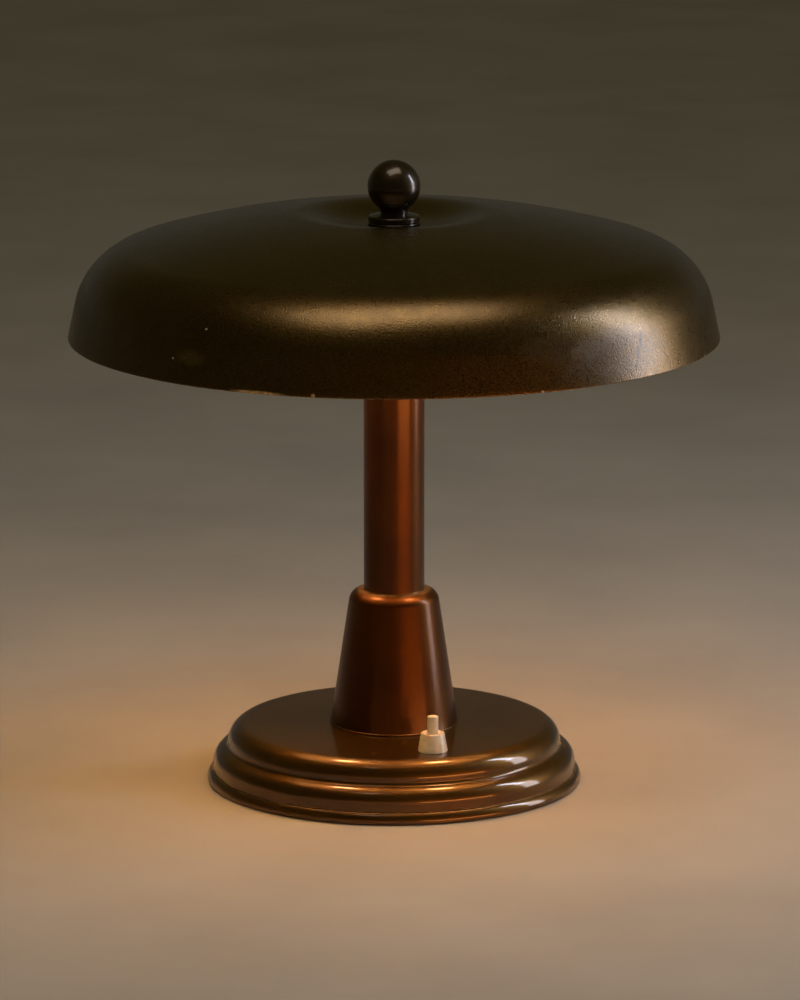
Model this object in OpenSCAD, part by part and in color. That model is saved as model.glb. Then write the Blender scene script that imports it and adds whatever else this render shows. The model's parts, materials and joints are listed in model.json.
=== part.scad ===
// Brass table lamp: a spun dome shade held down by a ball finial, on a tube stem over a stepped,
// weighted base with a push-button switch. Two screw lampholders sit back to back under the shade.
// Millimetres, +Z up, origin at the centre of the face it stands on, front towards -Y.

/* [Base] */
// Diameter of the lower step
base_d = 213.6; // [208:0.2:217]
// Diameter of the upper step
upper_step_d = 196.2; // [186:0.2:202]
// Height of the flat top
base_h = 34.1; // [32:0.1:42]
// Height of the ledge between the steps
ledge_h = 20.5; // [18.5:0.1:22]
// Round of the lower step
lower_round = 9; // [4:0.1:11]
// Round of the upper step
upper_round = 10.5; // [4:0.1:12]
// Fillet where the two steps meet
step_fillet = 2.5; // [1:0.1:4]
// Sheet thickness of the base
base_sheet = 1.2; // [0.8:0.1:2]

/* [Foot] */
// Largest diameter of the foot ring
foot_d = 220.6; // [219:0.2:230]
// Height of the foot ring
foot_h = 6.7; // [5.5:0.1:7.2]
// Round of the foot ring's outer face
foot_round = 5.8; // [5.6:0.1:9]
// Height of the foot ring's widest line
foot_belly_h = 1.8; // [1.5:0.1:3.5]
// Spigot of the foot ring inside the base shell
spigot_h = 1.2; // [0.8:0.1:1.4]
// Diameter of the bottom plate
plate_d = 202; // [196:0.5:206]
// Thickness of the bottom plate
plate_t = 1.6; // [1.2:0.1:2.5]
// Width of the ledge that the bottom plate bears on
plate_ledge = 4.3; // [3:0.1:6]
// Thickness of the felt
felt_t = 1.5; // [1:0.1:2.5]
// How far the felt stands below the foot ring
felt_proud = 0.4; // [0.2:0.1:0.8]

/* [Ballast] */
// Diameter of the ballast weight
ballast_d = 172; // [150:1:184]
// Thickness of the ballast weight
ballast_t = 11; // [8:0.5:14]
// Height of its underside
ballast_lift = 16; // [14.5:0.1:17]
// Diameter of its hub
hub_d = 60; // [40:1:80]
// Diameter of its pocket for the switch
pocket_d = 30; // [27:0.5:36]
// Screws that hold the bottom plate
screw_count = 3; // [3:1:4]
// Diameter of a plate screw
screw_d = 4; // [3:0.1:5]
// Diameter of a plate screw's head
screw_head_d = 8; // [7.5:0.1:9]
// Thread length of a plate screw above the plate
screw_grip = 9; // [6:0.5:12]
// Circle of the plate screws
screw_pcd = 120; // [100:1:140]
// Diameter of the ballast's screw bosses
boss_d = 12; // [9:0.5:16]

/* [Stem] */
// Outside diameter of the stem tube
stem_d = 35.6; // [33:0.1:40]
// Length of the stem tube
stem_len = 236; // [200:1:270]
// Wall of the stem tube
stem_wall = 1.2; // [0.8:0.1:1.8]
// Height of the centring plug in its foot
plug_h = 8; // [5:0.5:15]
// Thread diameter of the stem rod
rod_d = 10; // [9:0.1:12]
// Bore of the stem rod
rod_bore_d = 7; // [5:0.1:7.5]
// Width across flats of the rod nut
rod_nut_af = 17; // [15:0.5:22]
// Thickness of the rod nut
rod_nut_t = 5; // [3:0.1:5.5]
// Diameter of the rod washer
rod_washer_d = 30; // [22:0.5:40]
// Thickness of the rod washer
rod_washer_t = 1.6; // [1:0.1:2]
// Rod end that stands below its nut
rod_tail = 1; // [0.5:0.1:1.5]

/* [Cone collar] */
// Diameter of the cone at the base
cone_d = 74.8; // [68:0.2:84]
// Height of the cone
cone_h = 80.6; // [60:0.2:100]
// How far the cone's top stands out from the stem, before its round
cone_ledge = 7.8; // [7:0.1:11]
// Round of the cone's top edge
cone_shoulder = 7.5; // [4:0.1:7.8]
// Sheet thickness of the cone
cone_sheet = 1.2; // [0.8:0.1:2]
// Height of the bead round the cone's foot
cone_bead = 1.2; // [0.6:0.1:2]

/* [Lampholder cluster] */
// Height of the cluster body with its lid
cluster_h = 40; // [34:0.5:46]
// Wall of the cluster body
cluster_wall = 4; // [3:0.1:5]
// Floor of the cluster body
cluster_floor = 6; // [4:0.5:8]
// Spigot of the cluster body inside the stem
cluster_spigot = 8; // [5:0.5:15]
// Thickness of the cluster lid
lid_t = 5; // [4:0.1:8]
// Spigot of the lid inside the body
lid_spigot = 3; // [2:0.1:4]
// Round of the lid's top edge
lid_round = 3; // [1:0.1:3.5]
// Turn of the lampholders about the stem
holder_turn = -12; // [-45:1:45]
// Diameter of the cluster's side bosses
side_boss_d = 17; // [15:0.5:20]
// How far a side boss stands out from the cluster
side_boss_out = 2.2; // [1:0.1:4]
// Thread diameter of a holder nipple
nipple_d = 10; // [9:0.1:11]
// Bore of a holder nipple
nipple_bore_d = 7; // [5:0.1:7.5]
// Nipple length inside the cluster and inside the cap
nipple_end = 1.5; // [0.5:0.1:1.8]

/* [Lampholder] */
// Outside diameter of a lampholder
holder_d = 29; // [27:0.2:32]
// Diameter of the holder cap's back face
cap_back_d = 18; // [16:0.2:20]
// Length of the holder cap
cap_len = 11; // [10:0.1:16]
// Wall of the holder cap
cap_wall = 2; // [1.5:0.1:2.2]
// Back wall of the holder cap
cap_back_t = 3; // [2:0.1:3.4]
// Length of the holder shell
holder_shell_len = 25; // [24:0.1:26]
// Sheet thickness of the holder shell
holder_sheet = 0.9; // [0.6:0.1:1.2]
// Thickness of the porcelain core's flange
core_flange_t = 4; // [3:0.1:4.5]
// Length of the porcelain core's back
core_back_len = 4; // [3:0.1:4.2]
// Sheet thickness of the screw sleeve
sleeve_sheet = 0.8; // [0.5:0.1:1]
// Hole in the screw sleeve's floor
sleeve_hole_d = 8; // [7:0.1:10]
// Diameter of the centre contact
contact_d = 5; // [4:0.1:6]
// Height of the centre contact
contact_h = 2.6; // [2:0.1:3]
// Diameter of a terminal screw's shank
terminal_d = 2.4; // [2:0.1:3]
// Diameter of a terminal screw's head
terminal_head_d = 4.4; // [3.6:0.1:4.8]
// Height of a terminal screw's head
terminal_head_h = 1.5; // [1:0.1:2]
// Distance of a holder's terminal screws from its axis
terminal_offset = 8; // [7.6:0.1:8.8]

/* [Bulb] */
// Diameter of the bulb's globe
bulb_d = 45; // [40:0.5:48]
// Length of the bulb
bulb_len = 70; // [66:0.5:80]
// Diameter of the bulb's screw cap
bulb_cap_d = 13.9; // [13:0.1:15]
// Length of the bulb's screw cap
bulb_cap_len = 15; // [14:0.1:16]
// Sheet thickness of the screw cap
bulb_cap_sheet = 0.4; // [0.3:0.05:0.6]
// Thickness of the glass
glass_t = 0.8; // [0.5:0.1:1.2]
// Flare from the glass neck to the globe
glass_flare = 10; // [7:0.5:12]
// Length of the glass neck inside the cap
glass_neck_len = 6; // [4:0.5:9]
// Height of the bulb's insulator
insulator_h = 3; // [2:0.1:3.5]
// Diameter of the bulb's centre contact
bulb_contact_d = 4.8; // [4:0.1:6]
// Height of the bulb's centre contact
bulb_contact_h = 1.5; // [1:0.1:2]

/* [Shade] */
// Diameter of the shade at its rim
shade_d = 380; // [350:1:410]
// Lean of the skirt from upright, in degrees
skirt_lean = 12; // [6:0.5:18]
// Length of the skirt
skirt_len = 21; // [12:0.5:30]
// Round between skirt and crown
shoulder_r = 44.2; // [34:0.2:52]
// Radius of the crown
crown_r = 554; // [480:1:640]
// Depth of the dished centre
dish_depth = 9.8; // [6:0.1:12]
// Diameter of the dished centre
dish_d = 120; // [90:1:150]
// Diameter of the flat seat in its middle
seat_d = 40; // [36:0.5:48]
// Sheet thickness of the shade
shade_sheet = 1.2; // [0.8:0.1:1.6]
// Height of the shade's seat above the cluster lid
shade_lift = 20.5; // [15:0.1:30]
// Diameter of the shade rod
shade_rod_d = 8; // [7:0.1:9]
// Width across flats of the shade nut
shade_nut_af = 13; // [12:0.5:17]
// Thickness of the shade nut
shade_nut_t = 6; // [4:0.1:8]
// Diameter of the shade washer
shade_washer_d = 32; // [24:0.5:36]
// Thickness of the shade washer
shade_washer_t = 2; // [1:0.1:3]

/* [Finial] */
// Diameter of the finial ball
ball_d = 30.8; // [28:0.1:34]
// Straight stretch of the ball's neck above the collar
neck_h = 0.2; // [0.1:0.1:2]
// Diameter of the ball's neck
neck_d = 16; // [13:0.1:18]
// Fillet between neck and ball
neck_fillet = 4.6; // [2:0.1:8]
// Depth of the thread in the finial
finial_thread = 15; // [10:0.5:20]
// Diameter of the finial collar
collar_d = 30.4; // [26:0.1:34]
// Height of the finial collar at the ball's neck
collar_t = 6.3; // [5:0.1:8]
// Round of the collar's upper edge
collar_round = 0.9; // [0.3:0.1:1.5]
// Slope of the collar's top, down from the neck in degrees
collar_slope = 11.5; // [0:0.5:15]
// Height of the bead round the collar's foot
collar_bead = 1.4; // [1:0.1:1.6]
// How far the bead stands out from the collar's face
collar_step = 0.2; // [0.1:0.05:0.4]

/* [Switch] */
// Distance of the switch from the lamp's axis
switch_r = 72.5; // [66:0.1:76]
// Direction of the switch about the lamp's axis
switch_turn = -72; // [-110:1:-50]
// Diameter of the bezel at the base
bezel_d = 17.3; // [15.5:0.1:19]
// Diameter of the bezel at its top
bezel_top_d = 13.9; // [12.5:0.1:15]
// Height of the bezel
bezel_h = 10.7; // [9:0.1:13]
// Hole in the bezel
bezel_hole_d = 8.6; // [7.6:0.1:9]
// Round of the bezel's top edge
bezel_round = 0.8; // [0.3:0.1:1.2]
// Thickness of the bezel's top
bezel_top_t = 3.5; // [2:0.1:4.5]
// Depth of the dish in the bezel's top
bezel_dish = 1.4; // [0.4:0.1:1.7]
// Diameter of the button
button_d = 6.5; // [5.6:0.1:7]
// How far the button stands out of the bezel
button_out = 9.85; // [7:0.05:12]
// Round of the button's top edge
button_round = 0.6; // [0.2:0.1:1]
// Travel of the button
button_travel = 3; // [2:0.1:3.2]
// Thread diameter of the switch bush
bush_d = 10; // [9.6:0.1:11]
// Width across flats of the lock nut
locknut_af = 14; // [13:0.5:17]
// Thickness of the lock nut
locknut_t = 2.5; // [1.5:0.1:3]
// Space between lock nut and housing
housing_drop = 1.5; // [0.5:0.1:3]
// Diameter of the housing
housing_d = 22; // [21:0.1:25]
// Wall of the housing
housing_wall = 1.6; // [1.2:0.1:2]
// Top wall of the housing
housing_top_t = 2; // [1.5:0.1:3]
// Depth of the housing's chamber
chamber_h = 12; // [11:0.1:13]
// Diameter of the bush's flange
bush_flange_d = 15; // [13:0.1:16]
// Thickness of the bush's flange
bush_flange_t = 1.5; // [1:0.1:2]
// Diameter of the button's stop flange
stop_d = 9.6; // [8.4:0.1:10.4]
// Thickness of the stop flange
stop_t = 1.5; // [1:0.1:2]
// Diameter of the contact bridge
bridge_d = 16; // [14:0.1:17]
// Thickness of the contact bridge
bridge_t = 1; // [0.6:0.1:1.4]
// Button end below the bridge, which seats the spring
button_tail = 1.2; // [0.6:0.1:1.6]
// Thickness of the switch base
switch_base_t = 2.5; // [2:0.1:4]
// Width of a fixed contact
post_w = 2.6; // [2:0.1:3]
// Distance of the fixed contacts from the button's axis
post_offset = 6; // [5.6:0.1:6.4]
// Mean diameter of the return spring
spring_d = 4.6; // [4:0.1:5.4]
// Wire diameter of the return spring
spring_wire = 0.5; // [0.3:0.05:0.55]
// Turns of the return spring
spring_turns = 4; // [3:1:4]

/* [Cord inlet] */
// Bore for the supply cord
inlet_bore_d = 5.5; // [5:0.1:6]
// Wall of the inlet bush
inlet_wall = 1; // [0.8:0.1:1.2]
// Diameter of the bush's flange
inlet_flange_d = 10; // [9.4:0.1:10.6]
// Thickness of the bush's flange
inlet_flange_t = 2; // [1.5:0.1:3]
// Diameter of the nut inside
inlet_nut_d = 10; // [9.6:0.1:10.6]
// Thickness of the nut inside
inlet_nut_t = 2.5; // [2:0.1:4]

/* [Fits] */
// Radial play in a thread
thread_gap = 0.05; // [0.02:0.01:0.08]
// Radial play of a turning or sliding fit
running_gap = 0.06; // [0.02:0.01:0.09]
// Radial play of a spigot, plug or bolt hole
slip_gap = 0.15; // [0.05:0.01:0.3]
// Clear air between pieces that must not touch
air_gap = 0.3; // [0.2:0.05:0.5]

/* [Hidden] */
$fn = 96;

// Base levels and radii: the ballast fits inside the upper step, the lower step goes round the upper step
// and the plate's ledge, and the foot ring carries the lower step and goes round the plate
top_under = base_h - base_sheet;
plate_top = felt_t + plate_t;
recess_r = plate_d / 2 + air_gap;
ballast_top = min(ballast_lift + ballast_t, top_under - air_gap);
ballast_rise = max(0, ballast_top - base_h + upper_round);
ballast_room = upper_round - sqrt(pow(upper_round - base_sheet, 2) - pow(ballast_rise, 2)) + air_gap;
upper_r = upper_step_d / 2;
ballast_r = min(ballast_d / 2, upper_r - ballast_room);
base_r = max(base_d / 2, upper_r + step_fillet, plate_d / 2 - plate_ledge + 2 * base_sheet + slip_gap);
foot_turn = asin((foot_h - foot_belly_h) / foot_round);
foot_r = max(foot_d / 2, base_r + foot_round * (1 - cos(foot_turn)), recess_r + plate_ledge);
lower_fit = min(lower_round, ledge_h - foot_h - air_gap);
lower_mid = ledge_h - lower_fit;
fillet_dx = max(0, upper_r + step_fillet - (base_r - lower_fit));
fillet_dz = sqrt(pow(lower_fit + step_fillet, 2) - pow(fillet_dx, 2));
fillet_z = lower_mid + fillet_dz;
fillet_turn = atan2(fillet_dz, fillet_dx);
upper_fit = min(upper_round, base_h - fillet_z - air_gap, upper_r - switch_r - bezel_d / 2);
spigot_r = base_r - base_sheet - slip_gap;

// Stem, cone and cluster levels
rod_r = rod_d / 2;
stem_r = stem_d / 2;
stem_in_r = stem_r - stem_wall;
stem_top = base_h + stem_len;
cone_top = base_h + cone_h;
cone_top_r = stem_r + cone_ledge;
cone_lean = atan((cone_d / 2 - cone_top_r) / cone_h);
nut_top = ballast_lift - rod_washer_t;
cluster_r = stem_r;
cluster_in_r = cluster_r - cluster_wall;
cluster_top = stem_top + cluster_h;
body_top = cluster_top - lid_t;
lamp_z = stem_top + cluster_h / 2;

// Lampholder and bulb stations, measured outwards from the lamp's axis
cap_start = cluster_r + side_boss_out;
cap_end = cap_start + cap_len;
shell_end = cap_end + holder_shell_len;
holder_r = holder_d / 2;
cap_back_r = cap_back_d / 2;
cap_in_r = holder_r - cap_wall;
shell_in_r = holder_r - holder_sheet;
core_front = cap_end + core_flange_t;
core_back = cap_end - core_back_len;
sleeve_in_r = bulb_cap_d / 2 + running_gap;
sleeve_r = sleeve_in_r + sleeve_sheet;
bulb_start = core_front + contact_h;
insulator_start = bulb_start + bulb_contact_h;
bulb_cap_start = insulator_start + insulator_h;
bulb_cap_end = bulb_cap_start + bulb_cap_len;
globe_r = bulb_d / 2;
glass_neck_r = bulb_cap_d / 2 - bulb_cap_sheet - slip_gap;
flare_rise = sqrt(pow(globe_r + glass_flare, 2) - pow(glass_neck_r + glass_flare, 2));
glass_flare_z = max(bulb_cap_end - air_gap, bulb_start + bulb_len - globe_r - flare_rise);
globe_mid = glass_flare_z + flare_rise;
glass_flare_turn = acos((glass_neck_r + glass_flare) / (globe_r + glass_flare));

// Shade levels and circle centres, measured up from the rim
shade_seat_z = cluster_top + shade_lift + shade_sheet;
shade_rod_r = shade_rod_d / 2;
shade_hole_r = shade_rod_r + running_gap;
shoulder_x = shade_d / 2 - skirt_len * sin(skirt_lean) - shoulder_r * cos(skirt_lean);
shoulder_z = skirt_len * cos(skirt_lean) - shoulder_r * sin(skirt_lean);
crown_z = shoulder_z - sqrt(pow(crown_r - shoulder_r, 2) - pow(shoulder_x, 2));
crown_turn = acos(shoulder_x / (crown_r - shoulder_r));
seat_rise = crown_z + crown_r - dish_depth;
rim_z = shade_seat_z - seat_rise;

// Finial levels
collar_under = shade_seat_z + running_gap;
collar_top = collar_under + collar_t;
ball_r = ball_d / 2;
neck_r = neck_d / 2;
neck_turn = acos((neck_r + neck_fillet) / (ball_r + neck_fillet));
neck_mid = collar_top + neck_h;
ball_mid = neck_mid + (ball_r + neck_fillet) * sin(neck_turn);
finial_bore_top = collar_top + finial_thread;

// Switch levels, from the button's top down to the terminals
bush_r = bush_d / 2;
button_r = button_d / 2;
bezel_top = base_h + bezel_h;
bush_top = bezel_top - bezel_top_t;
locknut_under = top_under - locknut_t;
housing_top = locknut_under - housing_drop;
chamber_top = housing_top - housing_top_t;
flange_under = chamber_top - bush_flange_t;
stop_top = flange_under - air_gap;
bridge_top = stop_top - stop_t;
bridge_under = bridge_top - bridge_t;
button_end = bridge_under - button_tail;
chamber_floor = chamber_top - chamber_h;
chamber_r = housing_d / 2 - housing_wall;
post_top = bridge_under - button_travel - air_gap;
spring_len = button_end - chamber_floor;

// Cord inlet, in the rear wall of the lower step
inlet_r = inlet_bore_d / 2 + inlet_wall;
inlet_z = foot_h + spigot_h + air_gap + max(inlet_flange_d, inlet_nut_d) / 2;
inlet_face = base_r + air_gap;
inlet_rise = max(0, inlet_z + inlet_nut_d / 2 - lower_mid);
inlet_wall_r = inlet_rise < (lower_fit - base_sheet) * sin(fillet_turn)
    ? base_r - lower_fit + sqrt(pow(lower_fit - base_sheet, 2) - pow(inlet_rise, 2))
    : upper_r - base_sheet;
inlet_nut_back = sqrt(pow(inlet_wall_r, 2) - pow(inlet_nut_d / 2, 2)) - air_gap;

left = 180;
right = 0;

// Finishes
patina = "#4a3520";
dark_patina = "#2a2118";
bare_brass = "#b08d4a";
steel = "#8d9093";
iron = "#3d3d40";
ivory = "#d8c3a0";
porcelain = "#e8e4da";
bakelite = "#3a241a";
felt_green = "#34452f";
warm_glass = "#ffe2b0";

// Points along an arc about c, from angle a0 to a1
function arc(c, r, a0, a1, steps = 12) =
    [for (i = [0:steps]) let (a = a0 + (a1 - a0) * i / steps) c + r * [cos(a), sin(a)]];

function reversed(points) = [for (i = [len(points) - 1:-1:0]) points[i]];

// A sheet's closed outline, from its outer face and its inner face
function sheet_outline(outer, inner) = concat(outer, reversed(inner));

// Profile turned about the vertical axis
module turned(outline) {
    rotate_extrude() polygon(outline);
}

// Plain ring between two radii and two heights
module ring(r_in, r_out, z0, z1) {
    turned([[r_in, z0], [r_out, z0], [r_out, z1], [r_in, z1]]);
}

// Hexagon nut from z0 to z1
module hex_nut(across_flats, bore_r, z0, z1) {
    translate([0, 0, z0])
        difference() {
            cylinder(d = across_flats / cos(30), h = z1 - z0, $fn = 6);
            translate([0, 0, -1]) cylinder(r = bore_r, h = z1 - z0 + 2);
        }
}

// Slotted cheese-head screw, head upwards from z, shank downwards
module cheese_screw(shank_d, shank_len, head_d, head_h) {
    slot = head_h / 2;
    difference() {
        union() {
            translate([0, 0, -shank_len]) cylinder(d = shank_d, h = shank_len);
            cylinder(d = head_d, h = head_h);
        }
        translate([-head_d, -slot / 2, head_h - slot]) cube([2 * head_d, slot, head_h]);
    }
}

// Places a piece at the switch
module at_switch() {
    rotate([0, 0, switch_turn]) translate([switch_r, 0, 0]) rotate([0, 0, -switch_turn]) children();
}

// Places a piece on a lampholder's axis, with its Z pointing outwards
module at_holder(side) {
    translate([0, 0, lamp_z]) rotate([0, 0, holder_turn + side]) rotate([0, 90, 0]) children();
}

// Places a piece on the cord inlet's axis, with its Z pointing out to the rear
module at_inlet() {
    translate([0, 0, inlet_z]) rotate([-90, 0, 0]) children();
}

// Places a piece at each plate screw
module at_plate_screws() {
    for (i = [0:screw_count - 1])
        rotate([0, 0, 90 + i * 360 / screw_count]) translate([screw_pcd / 2, 0, 0]) children();
}

// Base

function base_face(inset) = concat(
    [[rod_r + slip_gap, base_h - inset]],
    arc([upper_r - upper_fit, base_h - upper_fit], upper_fit - inset, 90, 0),
    arc([upper_r + step_fillet, fillet_z], step_fillet + inset, 180, 180 + fillet_turn),
    arc([base_r - lower_fit, lower_mid], lower_fit - inset, fillet_turn, 0),
    [[base_r - inset, foot_h]]);

module base_shell() {
    color(patina)
    difference() {
        turned(sheet_outline(base_face(0), base_face(base_sheet)));
        at_switch() translate([0, 0, top_under - 1]) cylinder(r = bush_r + slip_gap, h = base_sheet + 2);
        at_inlet() cylinder(r = inlet_r + slip_gap, h = base_r + 1);
    }
}

module foot_ring() {
    foot_mid = [foot_r - foot_round, foot_belly_h];
    color(patina)
    turned(concat(
        arc(foot_mid, foot_round, -asin((foot_belly_h - felt_proud) / foot_round), foot_turn),
        [[spigot_r, foot_h], [spigot_r, foot_h + spigot_h],
         [plate_d / 2 - plate_ledge, foot_h + spigot_h], [plate_d / 2 - plate_ledge, plate_top],
         [recess_r, plate_top], [recess_r, felt_proud]]));
}

module ballast_weight() {
    color(iron)
    difference() {
        union() {
            translate([0, 0, ballast_lift]) cylinder(r = ballast_r, h = ballast_top - ballast_lift);
            translate([0, 0, ballast_lift]) cylinder(d = hub_d, h = top_under - ballast_lift);
            at_plate_screws()
                translate([0, 0, plate_top]) cylinder(d = boss_d, h = ballast_lift - plate_top + 1);
        }
        translate([0, 0, ballast_lift - 1]) cylinder(r = rod_r + slip_gap, h = base_h);
        at_switch() translate([0, 0, ballast_lift - 1]) cylinder(d = pocket_d, h = base_h);
        at_plate_screws()
            translate([0, 0, plate_top - 1]) cylinder(d = screw_d + 2 * thread_gap, h = screw_grip + 2);
    }
}

module bottom_plate() {
    color(steel)
    difference() {
        translate([0, 0, felt_t]) cylinder(d = plate_d, h = plate_t);
        at_plate_screws()
            turned([[0, felt_t - air_gap], [screw_head_d / 2 + slip_gap, felt_t - air_gap],
                [screw_head_d / 2 + slip_gap, felt_t], [screw_d / 2 + slip_gap, plate_top],
                [screw_d / 2 + slip_gap, plate_top + air_gap], [0, plate_top + air_gap]]);
    }
}

module plate_screws() {
    color(steel)
    at_plate_screws()
        union() {
            turned([[0, felt_t], [screw_head_d / 2, felt_t], [screw_d / 2, plate_top], [0, plate_top]]);
            translate([0, 0, plate_top]) cylinder(d = screw_d, h = screw_grip);
        }
}

module felt_pad() {
    color(felt_green) cylinder(d = plate_d, h = felt_t);
}

module cord_bush() {
    color(bakelite)
    at_inlet()
        turned([[inlet_bore_d / 2, inlet_nut_back - inlet_nut_t], [inlet_r, inlet_nut_back - inlet_nut_t],
            [inlet_r, inlet_face], [inlet_flange_d / 2, inlet_face],
            [inlet_flange_d / 2, inlet_face + inlet_flange_t],
            [inlet_bore_d / 2, inlet_face + inlet_flange_t]]);
}

module bush_nut() {
    color(bare_brass)
    at_inlet()
        ring(inlet_r + thread_gap, inlet_nut_d / 2, inlet_nut_back - inlet_nut_t, inlet_nut_back);
}

// Cone collar and stem

function cone_face(inset) = concat(
    [[stem_r + slip_gap, cone_top - inset]],
    arc([cone_d / 2 - (cone_h - cone_shoulder) * tan(cone_lean) - cone_shoulder / cos(cone_lean),
        cone_top - cone_shoulder], cone_shoulder - inset, 90, cone_lean));

module cone_collar() {
    bead_r = cone_bead / 2;
    color(patina)
    turned(concat(
        cone_face(0),
        arc([cone_d / 2, base_h + bead_r], bead_r, 90, -90, 8),
        [[cone_d / 2 - cone_sheet / cos(cone_lean), base_h]],
        reversed(cone_face(cone_sheet))));
}

module stem_tube() {
    color(patina) ring(stem_in_r, stem_r, base_h, stem_top);
}

module stem_plug() {
    color(bare_brass) ring(rod_r + slip_gap, stem_in_r - slip_gap, base_h, base_h + plug_h);
}

module stem_rod() {
    color(steel)
    ring(rod_bore_d / 2, rod_r, nut_top - rod_nut_t - rod_tail, stem_top + cluster_floor + rod_tail);
}

module rod_washer() {
    color(steel) ring(rod_r + slip_gap, rod_washer_d / 2, nut_top, ballast_lift);
}

module rod_nut() {
    color(steel) hex_nut(rod_nut_af, rod_r + thread_gap, nut_top - rod_nut_t, nut_top);
}

// Lampholder cluster and what carries the shade

module cluster_body() {
    boss_start = cluster_in_r + 1;
    color(patina)
    difference() {
        union() {
            turned([[rod_r + thread_gap, stem_top - cluster_spigot],
                [stem_in_r - slip_gap, stem_top - cluster_spigot], [stem_in_r - slip_gap, stem_top],
                [cluster_r, stem_top], [cluster_r, body_top], [cluster_in_r, body_top],
                [cluster_in_r, stem_top + cluster_floor], [rod_r + thread_gap, stem_top + cluster_floor]]);
            for (side = [left, right])
                at_holder(side)
                    translate([0, 0, boss_start]) cylinder(d = side_boss_d, h = cap_start - boss_start);
        }
        for (side = [left, right])
            at_holder(side) cylinder(d = nipple_d + 2 * thread_gap, h = cap_start + 1);
    }
}

module cluster_lid() {
    color(patina)
    turned(concat(
        [[shade_rod_r + thread_gap, body_top - lid_spigot], [cluster_in_r - slip_gap, body_top - lid_spigot],
         [cluster_in_r - slip_gap, body_top], [cluster_r, body_top]],
        arc([cluster_r - lid_round, cluster_top - lid_round], lid_round, 0, 90),
        [[shade_rod_r + thread_gap, cluster_top]]));
}

module shade_rod() {
    rod_bottom = body_top - lid_spigot;
    color(steel)
    translate([0, 0, rod_bottom]) cylinder(r = shade_rod_r, h = finial_bore_top - air_gap - rod_bottom);
}

module shade_nut() {
    nut_face = shade_seat_z - shade_sheet - shade_washer_t;
    color(bare_brass) hex_nut(shade_nut_af, shade_rod_r + thread_gap, nut_face - shade_nut_t, nut_face);
}

module shade_washer() {
    washer_face = shade_seat_z - shade_sheet;
    color(bare_brass)
    ring(shade_rod_r + slip_gap, shade_washer_d / 2, washer_face - shade_washer_t, washer_face);
}

// Lampholders

module holder_nipple(side) {
    color(bare_brass)
    at_holder(side)
        ring(nipple_bore_d / 2, nipple_d / 2, cluster_in_r - nipple_end, cap_start + cap_back_t + nipple_end);
}

module holder_cap(side) {
    flare = holder_r - cap_back_r;
    color(bare_brass)
    at_holder(side)
        turned(concat(
            [[nipple_d / 2 + thread_gap, cap_start]],
            arc([cap_back_r, cap_start + flare], flare, -90, 0),
            [[holder_r, cap_end], [cap_in_r, cap_end], [cap_in_r, cap_start + cap_back_t],
             [nipple_d / 2 + thread_gap, cap_start + cap_back_t]]));
}

module holder_shell(side) {
    lip_r = sleeve_r + 2 * air_gap;
    color(bare_brass)
    at_holder(side)
        turned([[shell_in_r, cap_end], [holder_r, cap_end], [holder_r, shell_end], [lip_r, shell_end],
            [lip_r, shell_end - holder_sheet], [shell_in_r, shell_end - holder_sheet]]);
}

// Places a piece at each of a holder's terminal screws
module at_terminals() {
    for (end = [-1, 1]) translate([0, end * terminal_offset, core_back]) rotate([180, 0, 0]) children();
}

module holder_core(side) {
    color(porcelain)
    at_holder(side)
        difference() {
            turned([[0, core_back], [cap_in_r - air_gap, core_back], [cap_in_r - air_gap, cap_end],
                [shell_in_r - air_gap, cap_end], [shell_in_r - air_gap, core_front], [0, core_front]]);
            at_terminals()
                translate([0, 0, -core_back_len])
                    cylinder(d = terminal_d + 2 * thread_gap, h = 2 * core_back_len);
        }
}

module holder_sleeve(side) {
    sleeve_end = shell_end - air_gap;
    color(bare_brass)
    at_holder(side)
        turned([[sleeve_hole_d / 2, core_front], [sleeve_r, core_front], [sleeve_r, sleeve_end],
            [sleeve_in_r, sleeve_end], [sleeve_in_r, core_front + sleeve_sheet],
            [sleeve_hole_d / 2, core_front + sleeve_sheet]]);
}

module holder_contact(side) {
    color(bare_brass)
    at_holder(side) translate([0, 0, core_front]) cylinder(d = contact_d, h = contact_h);
}

module holder_screws(side) {
    color(bare_brass)
    at_holder(side)
        at_terminals() cheese_screw(terminal_d, core_back_len - air_gap, terminal_head_d, terminal_head_h);
}

// Bulbs

function glass_face(inset) = concat(
    [[glass_neck_r - inset, bulb_cap_end - glass_neck_len]],
    arc([glass_neck_r + glass_flare, glass_flare_z], glass_flare + inset, 180, 180 - glass_flare_turn),
    arc([0, globe_mid], globe_r - inset, -glass_flare_turn, 90, 24));

module bulb_glass(side) {
    color(warm_glass)
    at_holder(side) turned(sheet_outline(glass_face(0), glass_face(glass_t)));
}

module bulb_cap(side) {
    cap_r = bulb_cap_d / 2;
    color(bare_brass)
    at_holder(side)
        turned([[0, bulb_cap_start], [cap_r, bulb_cap_start], [cap_r, bulb_cap_end],
            [cap_r - bulb_cap_sheet, bulb_cap_end],
            [cap_r - bulb_cap_sheet, bulb_cap_start + bulb_cap_sheet], [0, bulb_cap_start + bulb_cap_sheet]]);
}

module bulb_insulator(side) {
    color(bakelite)
    at_holder(side)
        translate([0, 0, insulator_start])
            cylinder(r1 = bulb_contact_d / 2 + 1, r2 = bulb_cap_d / 2 - bulb_cap_sheet, h = insulator_h);
}

module bulb_contact(side) {
    color(bare_brass)
    at_holder(side) translate([0, 0, bulb_start]) cylinder(d = bulb_contact_d, h = bulb_contact_h);
}

// Shade and finial

// Height of the dished centre at radius r, easing from the flat seat out to the crown
function dish_z(r) =
    let (out = (r - seat_d / 2) / (dish_d / 2 - seat_d / 2),
        ease = out * out * (3 - 2 * out),
        crown = crown_z + sqrt(crown_r * crown_r - r * r))
    seat_rise + (crown - seat_rise) * ease;

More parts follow.
